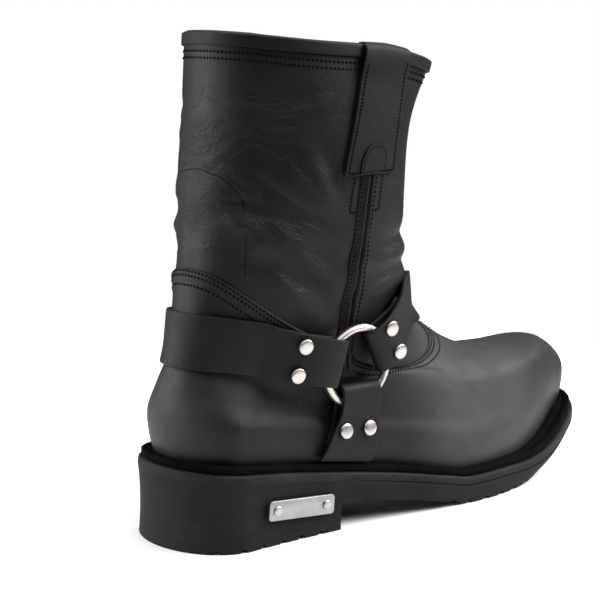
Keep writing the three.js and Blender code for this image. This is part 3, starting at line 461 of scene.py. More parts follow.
def metal(name, colour, rough, scratch=0.08):
    material, nodes, links, shader, place = new_material(name)
    shader.inputs["Metallic"].default_value = 1.0
    tone = noise(nodes, links, place, 120, 4)
    low = tuple(0.82 * c for c in colour)
    links.new(ramp(nodes, links, tone, [(0.3, low), (0.7, colour)]), shader.inputs["Base Color"])
    links.new(ramp(nodes, links, noise(nodes, links, place, 340, 4), [(0.3, rough), (0.75, rough + 0.16)]),
              shader.inputs["Roughness"])
    bump(nodes, links, shader, noise(nodes, links, place, 900, 3, stretch=(1, 1, 4)), scratch, 0.1)
    return material


# The upper's paler tones, blended in from its marks, are painted highlight
upper_leather = leather("upper_leather", 0.003, 0.007, rough=(0.48, 0.6), grain=0.35, wrinkle=0.9,
                        gloss=0.22, highlight_tones=(0.022, 0.042))
binding_leather = leather("binding_leather", 0.003, 0.006, rough=(0.5, 0.62), gloss=0.22)
pull_strap_leather = leather("pull_strap_leather", 0.004, 0.008, rough=(0.55, 0.65), gloss=0.18)
harness_leather = leather("harness_leather", 0.003, 0.007, rough=(0.5, 0.6), gloss=0.2)
welt_leather = leather("welt_leather", 0.001, 0.003, rough=(0.8, 0.95), grain=1.0, gloss=0.04)
lining_leather = leather("lining_leather", 0.01, 0.02, rough=(0.6, 0.75))
waxed_thread = leather("waxed_thread", 0.0005, 0.001, rough=(0.7, 0.85), gloss=0.08)
sole_rubber = rubber("sole_rubber", 0.003, 0.010)
midsole_rubber = rubber("midsole_edge", 0.004, 0.016)
nickel = metal("warm_nickel", (0.60, 0.565, 0.51), 0.28)
bright_steel = metal("bright_steel", (0.40, 0.395, 0.39), 0.34)
screw_steel = metal("screw_steel", (0.52, 0.515, 0.51), 0.3)

# Camera, at the photograph's angle
AZIMUTH, ELEVATION, DISTANCE = math.radians(-42), math.radians(9.7), 0.97
LOOK_AT = Vector((-0.059, 0, 0.119))
back = Vector((math.sin(AZIMUTH) * math.cos(ELEVATION), -math.cos(AZIMUTH) * math.cos(ELEVATION),
               math.sin(ELEVATION)))
camera = bpy.data.objects.new("camera", bpy.data.cameras.new("camera"))
camera.data.lens = 1772 / 600 * 36
camera.data.sensor_width = 36
camera.data.clip_start = 0.01
camera.location = LOOK_AT + back * DISTANCE
camera.rotation_euler = back.to_track_quat("Z", "Y").to_euler()
bpy.context.scene.collection.objects.link(camera)
bpy.context.scene.camera = camera
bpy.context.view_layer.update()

# Upper: one hollow wall, with the vamp and counter standing proud below their seam
AROUND = 364
places = [(COLUMNS * 2 * k / AROUND, LATERAL) for k in range(AROUND // 2 + 1)]
places += [(COLUMNS * 2 * (AROUND - k) / AROUND, MEDIAL) for k in range(AROUND // 2 + 1, AROUND)]
below_seam = np.linspace(0, SEAM_LOOP, 82)
above_seam = np.linspace(SEAM_LOOP, 12, 104)
skin = np.array([np.concatenate([column_curve(c, s, below_seam), column_curve(c, s, above_seam)])
                 for c, s in places])
skin = dipped(skin)
foot_rows = len(below_seam)
SEAM_AT = {side: places.index((SEAM_COLUMN, side)) for side in SIDE_NAMES}


def normals_of(grid):
    around = np.roll(grid, -1, axis=0) - np.roll(grid, 1, axis=0)
    up = np.gradient(grid, axis=1)
    out = np.cross(around, up)
    return out / np.linalg.norm(out, axis=2, keepdims=True)


# Creases worn into the leather, as lines on the lateral side with a width and a depth. The medial
# side has the same ones a little lower.
CREASES = [
    (3.0, 1.1, [(31, 13, 204), (31, -2, 210), (34, -15, 220)]),
    (3.0, 1.2, [(29, 7, 196), (30, -7, 205), (34, -18, 213)]),
    (2.6, 0.8, [(33, 15, 213), (31, 0, 217), (32, -8, 223)]),
    (3.6, 0.8, [(34, -10, 239), (45, -31, 231), (65, -47, 234)]),
    (3.4, 0.8, [(37, -21, 227), (50, -37, 220), (70, -49, 222)]),
    (6.5, 2.9, [(27, -3, 171), (32, -22, 178), (42, -34, 176), (55, -42, 169)]),
    (5.0, 1.9, [(26, 1, 163), (31, -20, 162), (43, -33, 165), (54, -40, 160)]),
    (5.5, 2.3, [(37, -26, 196), (47, -37, 185), (61, -45, 174), (83, -49, 165)]),
    (6.0, 2.6, [(41, -32, 185), (52, -40, 172), (69, -46, 160), (88, -48, 150)]),
    (4.5, 1.6, [(32, -19, 188), (38, -29, 177), (49, -38, 163)]),
    (6.0, 2.5, [(40, -30, 155), (54, -38, 150), (70, -42, 138), (89, -42, 123)]),
    (5.0, 1.9, [(49, -37, 161), (67, -44, 152), (88, -46, 142)]),
    (6.0, 2.0, [(25, -6, 153), (32, -22, 153), (42, -30, 145), (54, -35, 133)]),
    (5.0, 1.4, [(70, -49, 208), (80, -51, 188), (86, -51, 174)]),
    (5.5, 2.2, [(105, -50, 159), (115, -48, 154), (132, -43, 153), (150, -25, 156), (158, 0, 158)]),
    (5.0, 2.0, [(100, -49, 141), (112, -46, 137), (125, -45, 139), (145, -25, 141), (155, 0, 143)])]


def creased(grid, out):
    """Presses each crease in as a soft trough with a ridge of pushed-up leather below it.

    Also gives, at each place, how worn the leather is there, and how far across and along the
    nearest crease it lies, for the fine wrinkles that run beside the creases.
    """
    depth, worn, across, along = (np.zeros(grid.shape[:2]) for _ in range(4))
    closest = np.full(grid.shape[:2], 99.0)
    for mirrored in (1, -1):
        for width, deep, line in CREASES:
            line = np.array(line, float) * (1, mirrored, 1) - (0, 0, 0 if mirrored == 1 else 5)
            snapped = []
            for point in line:
                far = np.linalg.norm(grid - point, axis=2)
                snapped.append(grid[np.unravel_index(far.argmin(), far.shape)])
            run = resampled_line(snapped, 1.5)
            margin = 5 * width
            near = np.all((grid > run.min(axis=0) - margin) & (grid < run.max(axis=0) + margin), axis=2)
            spots = grid[near]
            nearest = np.full(len(spots), 99.0)
            below, ease, travel = (np.zeros(len(spots)) for _ in range(3))
            for k, place in enumerate(run):
                away = spots - place
                far = np.linalg.norm(away, axis=1)
                closer = far < nearest
                nearest[closer] = far[closer]
                below[closer] = away[closer, 2]
                travel[closer] = 1.5 * k
                share = k / (len(run) - 1)
                ease[closer] = math.sin(math.pi * min(max(share, 0.04), 0.96)) ** 0.6
            trough = np.exp(-(nearest / width) ** 2)
            ridge = np.exp(-((nearest - 1.8 * width) / width) ** 2) * (below < 0)
            depth[near] += ease * deep * (-trough + 0.7 * ridge)
            worn[near] = np.maximum(worn[near], ease ** 2.5 * np.exp(-(nearest / (3 * width)) ** 2))
            nearer = nearest < closest[near]
            for field, values in ((across, nearest * np.sign(below)), (along, travel), (closest, nearest)):
                field[near] = np.where(nearer, values, field[near])
    # Shallower on the back and the front, which stay nearly straight
    depth *= 0.25 + 0.75 * eased(np.abs(grid[..., 1]), 10, 34)
    return grid + out * np.clip(depth, -3.2, 2.2)[..., None], worn, across, along


def resampled_line(points, pitch):
    """A soft line through a few points in mm, with a point at every pitch."""
    points = np.asarray(points, float)
    run = np.concatenate([[0], np.cumsum(np.linalg.norm(np.diff(points, axis=0), axis=1))])
    at = np.linspace(0, run[-1], max(2, int(run[-1] / pitch)))
    # The corners between the points are then eased by averaging neighbours
    line = np.stack([np.interp(at, run, points[:, k]) for k in range(3)], axis=1)
    for _ in range(6):
        line[1:-1] = (line[:-2] + 2 * line[1:-1] + line[2:]) / 4
    return line


smooth_skin = np.delete(skin, foot_rows, axis=1)
smooth_out = normals_of(smooth_skin)
if np.mean(smooth_out[:, :, 1] * smooth_skin[:, :, 1]) < 0:
    smooth_out = -smooth_out
out = np.insert(smooth_out, foot_rows, smooth_out[:, foot_rows - 1], axis=1)

step = np.zeros(skin.shape[1])
step[:foot_rows] = OVERLAY_STEP * np.minimum(below_seam / 2, 1)
skin, worn, across_crease, along_crease = creased(skin, out)
outside = skin + out * step[None, :, None]
# The raw edge of the vamp and counter, rolled over the last millimetre
edge_rows = []
seam = skin[:, foot_rows - 1]
before = skin[:, foot_rows - 2] - seam
before /= np.linalg.norm(before, axis=1, keepdims=True)
for inward, lift in ((0.9, 1.0), (0.4, 0.93), (0.08, 0.62), (0.0, 0.3)):
    edge_rows.append(seam + before * inward + out[:, foot_rows - 1] * OVERLAY_STEP * lift)
edge = np.stack(edge_rows, axis=1)
outside = np.concatenate([outside[:, :foot_rows - 1], edge, outside[:, foot_rows:]], axis=1)
inner_rows = np.linspace(smooth_skin.shape[1] - 1, 0, 44).astype(int)
inside = smooth_skin[:, inner_rows] - smooth_out[:, inner_rows] * WALL
inside[:, 0, 2] = smooth_skin[:, -1, 2]
inside[:, -1, 2] = smooth_skin[:, 0, 2]
upper_points = to_metres(np.concatenate([outside, inside], axis=1))
upper = finished("upper_leather_shell", shaped_grid(upper_points, closed_across=True, closed_along=True),
                 upper_leather, ["upper"], sharp=50)
worn_places = KDTree(worn.size)
for k, point in enumerate(to_metres(skin.reshape(-1, 3))):
    worn_places.insert(point, k)
worn_places.balance()
nearest_places = [worn_places.find(v.co)[1] for v in upper.data.vertices]


def painted(name, values):
    """Keeps a value for each place of the upper, for its leather to read."""
    layer = upper.data.attributes.new(name, "FLOAT", "POINT")
    layer.data.foreach_set("value", [values.flat[k] for k in nearest_places])


painted("worn", worn)
painted("across_crease", across_crease)
painted("along_crease", along_crease)

# Painted highlight: the leather's colour is made paler along the vamp and over the toe, and round the heel,
# low on the boot, standing in for light falling there
vamp_highlight = np.array([[smooth(x, 122, 182) * (1 - 0.5 * smooth(x, 222, 285)) for x in line]
                    for line in skin[:, :, 0]])
heel_highlight = np.array([[0.8 * (1 - smooth(x, 2, 22)) for x in line] for line in skin[:, :, 0]])
on_foot = 1 - np.array([[smooth(z, 95, 150) for z in line] for line in skin[:, :, 2]])
painted_highlight = (vamp_highlight + heel_highlight) * on_foot
painted("painted_highlight", painted_highlight)

# Sole
STEPS = 250


def sole_layer(name, material, replaced, profile, from_x=-1, to_x=999, sharp=30):
    """A layer of the sole, from the steps of its side given as an inset and a height along the sole."""
    rows = []
    for k in range(STEPS + 1):
        angle = math.pi * k / STEPS
        x = outline_point(angle, LATERAL)[0]
        if not from_x <= x <= to_x:
            continue
        sides = []
        for side in (LATERAL, MEDIAL):
            flats = [sole_point(angle, side, inset(x)) for inset, height in profile]
            sides.append([(*flat, height(flat[0])) for flat, (inset, height) in zip(flats, profile)])
        rows.append(sides[0] + sides[1][::-1])
    bm = shaped_grid(to_metres(rows))
    ends = [e for e in bm.edges if e.is_boundary]
    if ends:
        bmesh.ops.holes_fill(bm, edges=ends, sides=0)
        bmesh.ops.recalc_face_normals(bm, faces=bm.faces)
    return finished(name, bm, material, replaced, sharp=sharp)


def outsole_top(x):
    return bed_height(x) - MIDSOLE - GAP


def towards_toe(x):
    return smooth(x / SOLE_LENGTH, 0.62, 0.94)


def outsole_bottom(x):
    return outsole_top(x) - OUTSOLE * (1 - TOE_THINNING * towards_toe(x))


def waist(x, z):
    share = min(max(z / outsole_top(x), 0), 1)
    fade = 1 - smooth(x, HEEL_LENGTH, HEEL_LENGTH * HEEL_FADE)
    return HEEL_HOLLOW * fade * max(0, math.sin(math.pi * share)) ** 0.7


def tread(x, low, high):
    """How deep the tread is at a place: a groove every pitch."""
    if not low <= x <= high:
        return 0.0
    away = abs((x - low + TREAD_PITCH / 2) % TREAD_PITCH - TREAD_PITCH / 2)
    return TREAD_DEPTH * (1 - smooth(away, TREAD_WIDTH * 0.4, TREAD_WIDTH * 0.75))


def past_heel(x):
    return smooth(x, HEEL_LENGTH * 0.9, HEEL_LENGTH * 1.5)


def outsole_level(share, bevel=0.0, out_by=0.0, grooved=False, over=0.0):
    def height(x):
        z = mix(outsole_bottom(x), outsole_top(x), share) + over
        return z + (tread(x, 168, 306) if grooved else 0)
    return (lambda x: (seat_inset(x) + waist(x, height(x)) + TOE_BEVEL * towards_toe(x) * bevel
                       - out_by * past_heel(x)), height)


sole_layer("outsole_rubber", sole_rubber, ["outsole"], [
    outsole_level(0, 1, -0.6, True), outsole_level(0.06, 0.93, 0, True), outsole_level(0.24, 0.68),
    outsole_level(0.4, 0.45), outsole_level(0.6, 0.22), outsole_level(0.8, 0.08),
    outsole_level(0.9, 0.03), outsole_level(0.94, 0.02, -0.7), outsole_level(1, 0, -0.7, over=GAP)])

sole_layer("midsole_layer", midsole_rubber, ["midsole"], [
    (lambda x: seat_inset(x) + waist(x, bed_height(x) - MIDSOLE) + 1.1 * past_heel(x),
     lambda x: bed_height(x) - MIDSOLE),
    (lambda x: seat_inset(x) + waist(x, bed_height(x) - MIDSOLE) + 0.4 * past_heel(x),
     lambda x: bed_height(x) - MIDSOLE + 0.5),
    (lambda x: seat_inset(x) + 0.2, lambda x: bed_height(x) - MIDSOLE * 0.5),
    (lambda x: seat_inset(x) + 0.4, lambda x: bed_height(x) - 1.1),
    (lambda x: seat_inset(x) + 1.0, lambda x: bed_height(x) - 0.35),
    (lambda x: seat_inset(x) + 2.2, bed_height)])


def heel_level(share, out_by=0.0, grooved=False):
    def height(x):
        z = outsole_bottom(x) * share
        return z + (tread(x, 13, 86) if grooved else 0)
    return (lambda x: SEAT_TUCK + waist(x, outsole_bottom(x) * share) - out_by, height)


def heel_block():
    levels = [heel_level(0, -0.6, True), heel_level(0.03, 0, True), heel_level(0.12), heel_level(0.28),
              heel_level(0.45), heel_level(0.62), heel_level(0.78), heel_level(0.93), heel_level(1)]
    piece = sole_layer("heel_stack", sole_rubber, ["heel_block"], levels,
                       to_x=HEEL_LENGTH + 12)
    bm = bmesh.new()
    bm.from_mesh(piece.data)
    tilt = math.atan(BREAST_SLANT / outsole_bottom(HEEL_LENGTH))
    breast = bmesh.ops.bisect_plane(
        bm, geom=bm.verts[:] + bm.edges[:] + bm.faces[:], dist=1e-6, clear_outer=True,
        plane_co=to_metres((HEEL_LENGTH, 0, 0)), plane_no=(math.cos(tilt), 0, -math.sin(tilt)))
    cut = [e for e in breast["geom_cut"] if isinstance(e, bmesh.types.BMEdge)]
    bmesh.ops.holes_fill(bm, edges=cut, sides=0)
    bmesh.ops.recalc_face_normals(bm, faces=bm.faces)
    bm.to_mesh(piece.data)
    bm.free()
    piece.data.set_sharp_from_angle(angle=math.radians(30))
    return piece


heel_block()

# Welt: a rough strip round the upper with a stitched groove
welt_rows = []
welt_groove = []
for k, (column, side) in enumerate(places):
    angle = math.pi * column / COLUMNS
    x = outline_point(angle, side)[0]
    low, high = outside[k, 0], outside[k, 8]
    outward = sole_point(angle, side, 0) - sole_point(angle, side, 1)

    def by_upper(height):
        share = max(0.0, (height - low[2]) / (high[2] - low[2]))
        point = mix(low, high, share)
        return np.array((point[0] + outward[0] * GAP, point[1] + outward[1] * GAP, height))

    def at_edge(inset, height):
        flat = sole_point(angle, side, seat_inset(x) + inset)
        return np.array((*flat, bed_height(flat[0]) + height))

    bottom = bed_height(low[0]) + GAP
    crest = by_upper(bottom + WELT)
    ragged = 0.55 * math.sin(2.3 * k) * math.sin(0.71 * k + 1) + 0.3 * math.sin(5.1 * k)
    rim = at_edge(WELT_INSET + 0.9 + 0.7 * ragged, GAP + WELT + 0.45 * ragged)

    def across(share, drop):
        return mix(rim, crest, share) - np.array((0, 0, drop))

    welt_rows.append([by_upper(bottom), at_edge(WELT_INSET, GAP), at_edge(WELT_INSET - 0.3, GAP + 0.5),
                      at_edge(WELT_INSET - 0.4 + 0.4 * ragged, GAP + WELT * 0.6),
                      at_edge(WELT_INSET + 0.5 * ragged, GAP + WELT - 0.5), rim,
                      across(0.2, 0.0), across(0.32, 0.9), across(0.48, 1.0), across(0.6, 0.1), crest])
    welt_groove.append(across(0.4, 0.7))
welt = finished("welt_strip", shaped_grid(to_metres(welt_rows), closed_across=True, closed_along=True),
                welt_leather, ["welt"], sharp=55)

# Insole, bindings, straps and pulls
worked_copy("insole", "insole_board", lining_leather, levels=1)
worked_copy("collar_binding", "collar_rolled_edge", binding_leather, 0.5)
worked_copy("heel_strap", "heel_harness_strap", harness_leather, 0.6)
worked_copy("instep_strap", "instep_harness_strap", harness_leather, 0.6)
pull_straps = {}
for side, name in SIDE_NAMES.items():
    worked_copy(f"sole_strap_{name}", f"sole_harness_strap_{name}", harness_leather, 0.6)
    pull_straps[side] = worked_copy(f"pull_strap_{name}", f"pull_strap_fold_{name}", pull_strap_leather,
                                    0.5, squeeze=FOLD_SQUEEZE)


# Metal

RING_ROD, RING_MIDDLE = 4.2, 20.9
BADGE_BREAK = 0.25
SLOT_LENGTH, SLOT_WIDTH, SLOT_DEPTH = 3.4, 0.9, 0.7


def seat_of(node):
    """Where a round piece of metal sits: its middle, its axis out of the boot and its foot on that axis."""
    points = np.array([v.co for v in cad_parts[node].data.vertices])
    points = np.unique(np.round(points, 6), axis=0)
    middle = points.mean(axis=0)
    axis = np.linalg.svd(points - middle, full_matrices=False)[2][2]
    if axis[1] * middle[1] < 0:
        axis = -axis
    along = (points - middle) @ axis
    return middle, axis, along.min()


def turned(profile, steps=48):
    """A round piece from the half-profile in mm, spun about its axis."""
    bm = bmesh.new()
    verts = [bm.verts.new((r * MM, 0, z * MM)) for r, z in profile]
    edges = [bm.edges.new(pair) for pair in zip(verts, verts[1:])]
    bmesh.ops.spin(bm, geom=verts + edges, cent=(0, 0, 0), axis=(0, 0, 1), angle=2 * math.pi,
                   steps=steps, use_merge=True)
    bmesh.ops.remove_doubles(bm, verts=bm.verts, dist=1e-6)
    bmesh.ops.recalc_face_normals(bm, faces=bm.faces)
    return bm


def placed(bm, point, axis):
    turn = Vector(axis).to_track_quat("Z", "Y").to_matrix().to_4x4()
    bmesh.ops.transform(bm, matrix=Matrix.Translation(Vector(point)) @ turn, verts=bm.verts)
    return bm


def rivet(node, name):
    middle, axis, foot = seat_of(node)
    dome = [(0, 0), (4.2, 0), (4.25, 0.25), (4.12, 0.6), (3.8, 0.86), (3.2, 1.04), (2.3, 1.17), (1.2, 1.24),
            (0, 1.26)]
    bm = placed(turned(dome, 36), middle + axis * foot, axis)
    return finished(name, bm, nickel, [node], sharp=50)


for side, name in SIDE_NAMES.items():
    middle, axis, _ = seat_of(f"ring_{name}")
    bm = bmesh.new()
    bmesh.ops.create_circle(bm, segments=20, radius=RING_ROD / 2 * MM, matrix=(
        Matrix.Translation((RING_MIDDLE * MM, 0, 0)) @ Matrix.Rotation(math.pi / 2, 4, "X")))
    bmesh.ops.spin(bm, geom=bm.verts[:] + bm.edges[:], cent=(0, 0, 0), axis=(0, 0, 1), angle=2 * math.pi,
                   steps=96, use_merge=True)
    bmesh.ops.remove_doubles(bm, verts=bm.verts, dist=1e-6)
    bmesh.ops.recalc_face_normals(bm, faces=bm.faces)
    finished(f"harness_ring_{name}", placed(bm, middle, axis), nickel,
             [f"ring_{name}"], sharp=80)
    for strap in ("heel", "instep", "sole"):
        for place in ("low", "high"):
            rivet(f"{strap}_rivet_{place}_{name}", f"{strap}_strap_rivet_{place}_{name}")


def badge_blank():
    """The bare plate on the heel, flat and with its edges barely broken."""
    bm = bmesh.new()
    bm.from_mesh(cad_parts["badge_plate"].data)
    bmesh.ops.remove_doubles(bm, verts=bm.verts, dist=1e-6)
    hard = [e for e in bm.edges if e.calc_face_angle(0) > math.radians(50)]
    bmesh.ops.bevel(bm, geom=hard, offset=BADGE_BREAK * MM, segments=2, profile=0.5, affect="EDGES",
                    clamp_overlap=True, material=-1)
    return finished("heel_badge_blank", bm, bright_steel, ["badge_plate"], sharp=40)


badge_blank()


def screw(node, name):
    """A low round head with a cross slot sunk into its top."""
    middle, axis, foot = seat_of(node)
    bm = turned([(0, 0), (2.55, 0), (2.6, 0.35), (2.3, 0.72), (1.3, 0.92), (0, 0.96)], 40)
    for across in (Vector((1, 0, 0)), Vector((0, 1, 0))):
        for at in (-SLOT_LENGTH / 2, -SLOT_WIDTH / 2, SLOT_WIDTH / 2, SLOT_LENGTH / 2):
            bmesh.ops.bisect_plane(bm, geom=bm.verts[:] + bm.edges[:] + bm.faces[:], dist=1e-8,
                                   plane_co=across * at * MM, plane_no=across)
    bm.normal_update()
    slot = []
    for face in bm.faces:
        x, y, z = (abs(c) for c in face.calc_center_median() / MM)
        if face.normal.z > 0.5 and min(x, y) < SLOT_WIDTH / 2 and max(x, y) < SLOT_LENGTH / 2:
            slot.append(face)
    sunk = bmesh.ops.extrude_face_region(bm, geom=slot)["geom"]
    slot_floor = [v for v in sunk if isinstance(v, bmesh.types.BMVert)]
    bmesh.ops.translate(bm, vec=(0, 0, -SLOT_DEPTH * MM), verts=slot_floor)
    bmesh.ops.rotate(bm, matrix=Matrix.Rotation(0.5, 3, "Z"), verts=bm.verts)
    bm = placed(bm, middle + axis * foot, axis)
    return finished(name, bm, screw_steel, [node], sharp=40)


screw("badge_screw_back", "badge_screw_head_back")
screw("badge_screw_front", "badge_screw_head_front")


# Stitching

def resampled(points, pitch):
    """Places in metres at the middle of each stitch along a row."""
    points = np.asarray(points, float)
    steps = np.linalg.norm(np.diff(points, axis=0), axis=1)
    run = np.concatenate([[0], np.cumsum(steps)])
    count = max(2, int(round(run[-1] / (pitch * MM))))
    at = (np.arange(count) + 0.5) * run[-1] / count
    return np.stack([np.interp(at, run, points[:, k]) for k in range(3)], axis=1)


def stitches(name, rows, carrier, pitch=2.4, length=1.75, width=1.5, sink=0.1):
    """Rows of thread: a bead for each stitch, lying along its row on what carries it."""
    surface = surface_of(carrier)
    bm = bmesh.new()
    for row in rows:
        spots = resampled(row, pitch)
        for place, way in zip(spots, np.gradient(spots, axis=0)):
            spot, normal, _, _ = surface.find_nearest(Vector(place))
            tangent = Vector(way)
            tangent = (tangent - normal * tangent.dot(normal)).normalized()
            turn = Matrix((tangent, normal.cross(tangent), normal)).transposed().to_4x4()
            size = Matrix.Diagonal((length * MM / 2, width * MM / 2, width * MM * 0.45, 1))
            bmesh.ops.create_icosphere(bm, subdivisions=1, radius=1, matrix=(
                Matrix.Translation(spot - normal * sink * MM) @ turn @ size))
    return finished(name, bm, waxed_thread, None, sharp=180)


seam_row = foot_rows + 2


def along_seam(distance, first=0, last=AROUND):
    """A line on the vamp and counter, a distance below their edge."""
    line = []
    for k in range(first, last + 1):
        column = outside[k % AROUND, :seam_row + 1][::-1]
        run = np.concatenate([[0], np.cumsum(np.linalg.norm(np.diff(column, axis=0), axis=1))])
        line.append([np.interp(distance, run, column[:, axis]) for axis in range(3)])
    return to_metres(line)


def below_rim(distance, first=0, last=AROUND):
    """A line round the shaft, a distance below the rim."""
    line = []
    for k in range(first, last + 1):
        column = outside[k % AROUND][::-1]
        run = np.concatenate([[0], np.cumsum(np.linalg.norm(np.diff(column, axis=0), axis=1))])
        line.append([np.interp(distance, run, column[:, axis]) for axis in range(3)])
    return to_metres(line)


def seam_centre(side, height):
    """The side seam's place along the boot at a height."""
    line = skin[SEAM_AT[side]]
    return np.interp(height, line[:, 2], line[:, 0])


def on_side(surface, x, height, side):
    """Where a level line from the side meets a surface, with the way out there."""
    start = Vector((*to_metres((x, side * 90, height)),))
    spot, normal, _, _ = surface.ray_cast(start, Vector((0, -side, 0)))
    outwards = 1 if normal.y * side > 0 else -1
    return np.array(spot) / MM + (SOLE_LENGTH / 2, 0, 0), np.array(normal) * outwards


def side_row(surface, side, line):
    """A row on the boot's side, from places beside the side seam and their heights."""
    return to_metres([on_side(surface, seam_centre(side, height) + beside, height, side)[0]
                      for beside, height in line])


def banded(name, rows, replaced, sharp):
    """A closed piece from sections in mm, laid one above the other."""
    bm = shaped_grid(to_metres(rows))
    bmesh.ops.holes_fill(bm, edges=[e for e in bm.edges if e.is_boundary], sides=0)
    bmesh.ops.recalc_face_normals(bm, faces=bm.faces)
    return finished(name, bm, pull_strap_leather, replaced, sharp=sharp)


upper_surface = surface_of(upper)
rim = BOOT_HEIGHT - RIM_SIDE_DROP
strap_end = rim - PULL_STRAP_LENGTH
piping_foot, piping_top = RING_HEIGHT - 4, strap_end - 0.6
tab_foot = strap_end + TAB_FOOT_CLEAR
# How far beside the seam and how far out of the shaft each line of the piping lies
RIDGES = [
    (-6, 0.1), (-5.7, 0.55), (-4.6, 0.5), (-3.5, 0.55), (-3.0, 1.1), (-2.4, 1.8), (-1.7, 1.95), (-1.0, 1.6),
    (-0.4, 0.15), (0.4, 0.15), (1.0, 1.6), (1.7, 1.95), (2.4, 1.8), (3.0, 1.1), (3.5, 0.55), (4.6, 0.5),
    (5.7, 0.55), (6, 0.1)]
PIPING_ROW = 4.6
STRAP_ROW_INSET = 2.2
TAB_HALF_WIDTH, TAB_HEIGHT = 9.6, 14.6
TAB_ROW_HALF_WIDTH, TAB_ROW_HEIGHT = 8.0, 12.2
PATCH_ROW, PATCH_DEPTH = 10.4, 19


def pull_strap_half(height):
    return mix(PULL_STRAP_FOOT, PULL_STRAP_WIDTH, (height - strap_end) / PULL_STRAP_LENGTH) / 2


def side_piping(side, name):
    """The two raised ridges down the side seam, with a flat edge and a row of stitches on either side."""
    rows = []
    for height in np.linspace(piping_foot, piping_top, 90):
        centre = seam_centre(side, height)
        section = [on_side(upper_surface, centre + beside, height, side) for beside, _ in RIDGES]
        over = [spot + way * (0.35 + rise) for (spot, way), (_, rise) in zip(section, RIDGES)]
        under = [spot + way * 0.15 for spot, way in section]
        rows.append(over + under[::-1])
    piping = banded(f"side_seam_piping_{name}", rows, [f"side_piping_{name}"], 60)
    rise = np.linspace(piping_foot + 3, piping_top - 0.5, 60)
    lines = [side_row(surface_of(piping), side, [(beside, z) for z in rise])
             for beside in (-PIPING_ROW, PIPING_ROW)]
    stitches(f"side_seam_stitching_{name}", lines, piping)


def pull_strap_rows(side, name, strap):
    """Stitches up both edges of a pull strap, and along its foot beside the tab."""
    levels = np.linspace(strap_end + 1.2, rim - 9, 40)
    lines = []
    for edge in (-1, 1):
        lines.append([(edge * (pull_strap_half(z) - STRAP_ROW_INSET), z) for z in levels])
    for edge in (-1, 1):
        end = edge * (pull_strap_half(levels[0]) - STRAP_ROW_INSET)
        lines.append([(beside, levels[0]) for beside in np.linspace(edge * 8, end, 8)])
    stitches(f"pull_strap_stitching_{name}", [side_row(surface_of(strap), side, line) for line in lines],
             strap, 1.9)


def pull_tab(side, name, strap):
    """The round-topped tab on the foot of a pull strap, with an arch of stitches."""
    strap_surface = surface_of(strap)
    rows = []
    for share in np.linspace(0.02, 1, 30):
        turn = share * math.pi / 2
        height = tab_foot + TAB_HEIGHT * math.sin(turn)
        reach = TAB_HALF_WIDTH * max(math.cos(turn), 0.02) ** 0.55
        section = [on_side(strap_surface, seam_centre(side, height) + reach * beside, height, side)
                   for beside in np.linspace(-1, 1, 25)]
        over = [spot + way * 0.9 for spot, way in section]
        under = [spot - way * 0.3 for spot, way in section]
        rows.append(over + under[::-1])
    tab = banded(f"pull_tab_patch_{name}", rows, [f"pull_tab_{name}"], 40)
    arch = [(-TAB_ROW_HALF_WIDTH * math.cos(turn), tab_foot + 0.8 + TAB_ROW_HEIGHT * math.sin(turn) ** 0.6)
            for turn in np.linspace(0, math.pi, 24)]
    stitches(f"pull_tab_stitching_{name}", [side_row(surface_of(tab), side, arch)], tab,
             2.0, 1.6, 1.0)


def seam_patch_rows(side, name):
    """Stitches of the reinforcing patch that shows below a pull strap, on either side of the piping."""
    foot = strap_end - PATCH_DEPTH
    lines = []
    for edge in (-1, 1):
        down = [(edge * PATCH_ROW, z) for z in np.linspace(strap_end - 1, foot, 12)]
        lines.append(down + [(edge * beside, foot - 0.5) for beside in (9.4, 8.2, 7)])
    stitches(f"seam_patch_stitching_{name}", [side_row(upper_surface, side, line) for line in lines],
             upper, 1.9)


for side, name in SIDE_NAMES.items():
    side_piping(side, name)
    pull_strap_rows(side, name, pull_straps[side])
    pull_tab(side, name, pull_straps[side])
    seam_patch_rows(side, name)

# An arch of stitches at the back of the shaft, from its middle down to the counter
HEEL_PATCH = [(26.6, 0, 196), (26.2, -2.4, 196), (30.9, -19.9, 191.8), (35.8, -27.2, 181.8),
              (37.9, -28.6, 169.4), (38.4, -25.4, 130.8)]
heel_patch = resampled_line(HEEL_PATCH, 2)
SEAM_ROWS = (1.9, 4.4, 9.2)
COLLAR_ROWS = (3.2, 6.6)
stitches("heel_patch_stitching", [to_metres(heel_patch), to_metres(heel_patch * (1, -1, 1))], upper,
         2.0, 1.5, 0.9)
stitches("vamp_and_counter_stitching", [along_seam(d) for d in SEAM_ROWS], upper)
stitches("collar_stitching", [below_rim(BINDING_DEPTH + d) for d in COLLAR_ROWS], upper)
stitches("welt_stitching", [to_metres(welt_groove + welt_groove[:1])], welt,
         3.2, 2.5, 1.1, 0.0)

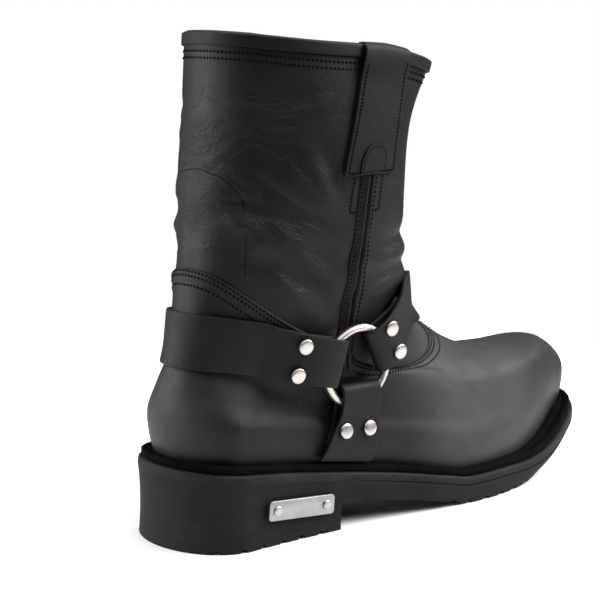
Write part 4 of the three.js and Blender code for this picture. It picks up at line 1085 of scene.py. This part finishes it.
# Floor, light and background
floor_mesh = bpy.data.meshes.new("floor")
bm = bmesh.new()
bmesh.ops.create_circle(bm, cap_ends=True, segments=96, radius=0.5)
bm.to_mesh(floor_mesh)
bm.free()
floor = bpy.data.objects.new("floor", floor_mesh)
bpy.context.scene.collection.objects.link(floor)
floor_finish, nodes, links, shader, place = new_material("floor_white")
shader.inputs["Base Color"].default_value = (0.88, 0.88, 0.88, 1)
shader.inputs["Roughness"].default_value = 0.8
floor.data.materials.append(floor_finish)

# White room for the camera, and a dim one for what lights the boot
world = bpy.data.worlds.new("studio")
world.use_nodes = True
nodes, links = world.node_tree.nodes, world.node_tree.links
room = nodes["Background"]
room.inputs["Color"].default_value = (0.94, 0.97, 1, 1)
room.inputs["Strength"].default_value = 0.07
backdrop = nodes.new("ShaderNodeBackground")
backdrop.inputs["Color"].default_value = (1, 1, 1, 1)
backdrop.inputs["Strength"].default_value = 1.0
either = nodes.new("ShaderNodeMixShader")
links.new(nodes.new("ShaderNodeLightPath").outputs["Is Camera Ray"], either.inputs["Fac"])
links.new(room.outputs["Background"], either.inputs[1])
links.new(backdrop.outputs["Background"], either.inputs[2])
links.new(either.outputs["Shader"], nodes["World Output"].inputs["Surface"])
bpy.context.scene.world = world
bpy.context.scene.view_settings.view_transform = "Standard"


def softbox(name, place, size, power, target=(-0.03, 0, 0.12)):
    light = bpy.data.lights.new(name, "AREA")
    light.shape = "RECTANGLE"
    light.size, light.size_y = size
    light.energy = power
    lamp = bpy.data.objects.new(name, light)
    lamp.location = place
    lamp.rotation_euler = (Vector(place) - Vector(target)).to_track_quat("Z", "Y").to_euler()
    bpy.context.scene.collection.objects.link(lamp)


softbox("left_softbox", (-0.95, 0.9, 0.42), (1.0, 0.8), 17)
softbox("right_softbox", (0.95, -0.75, 1.0), (1.1, 0.9), 40)
overhead = bpy.data.lights.new("overhead_diffuser", "SUN")
overhead.energy = 3.5
overhead.angle = math.radians(110)
lamp = bpy.data.objects.new("overhead_diffuser", overhead)
lamp.location = (0, 0, 2)
bpy.context.scene.collection.objects.link(lamp)
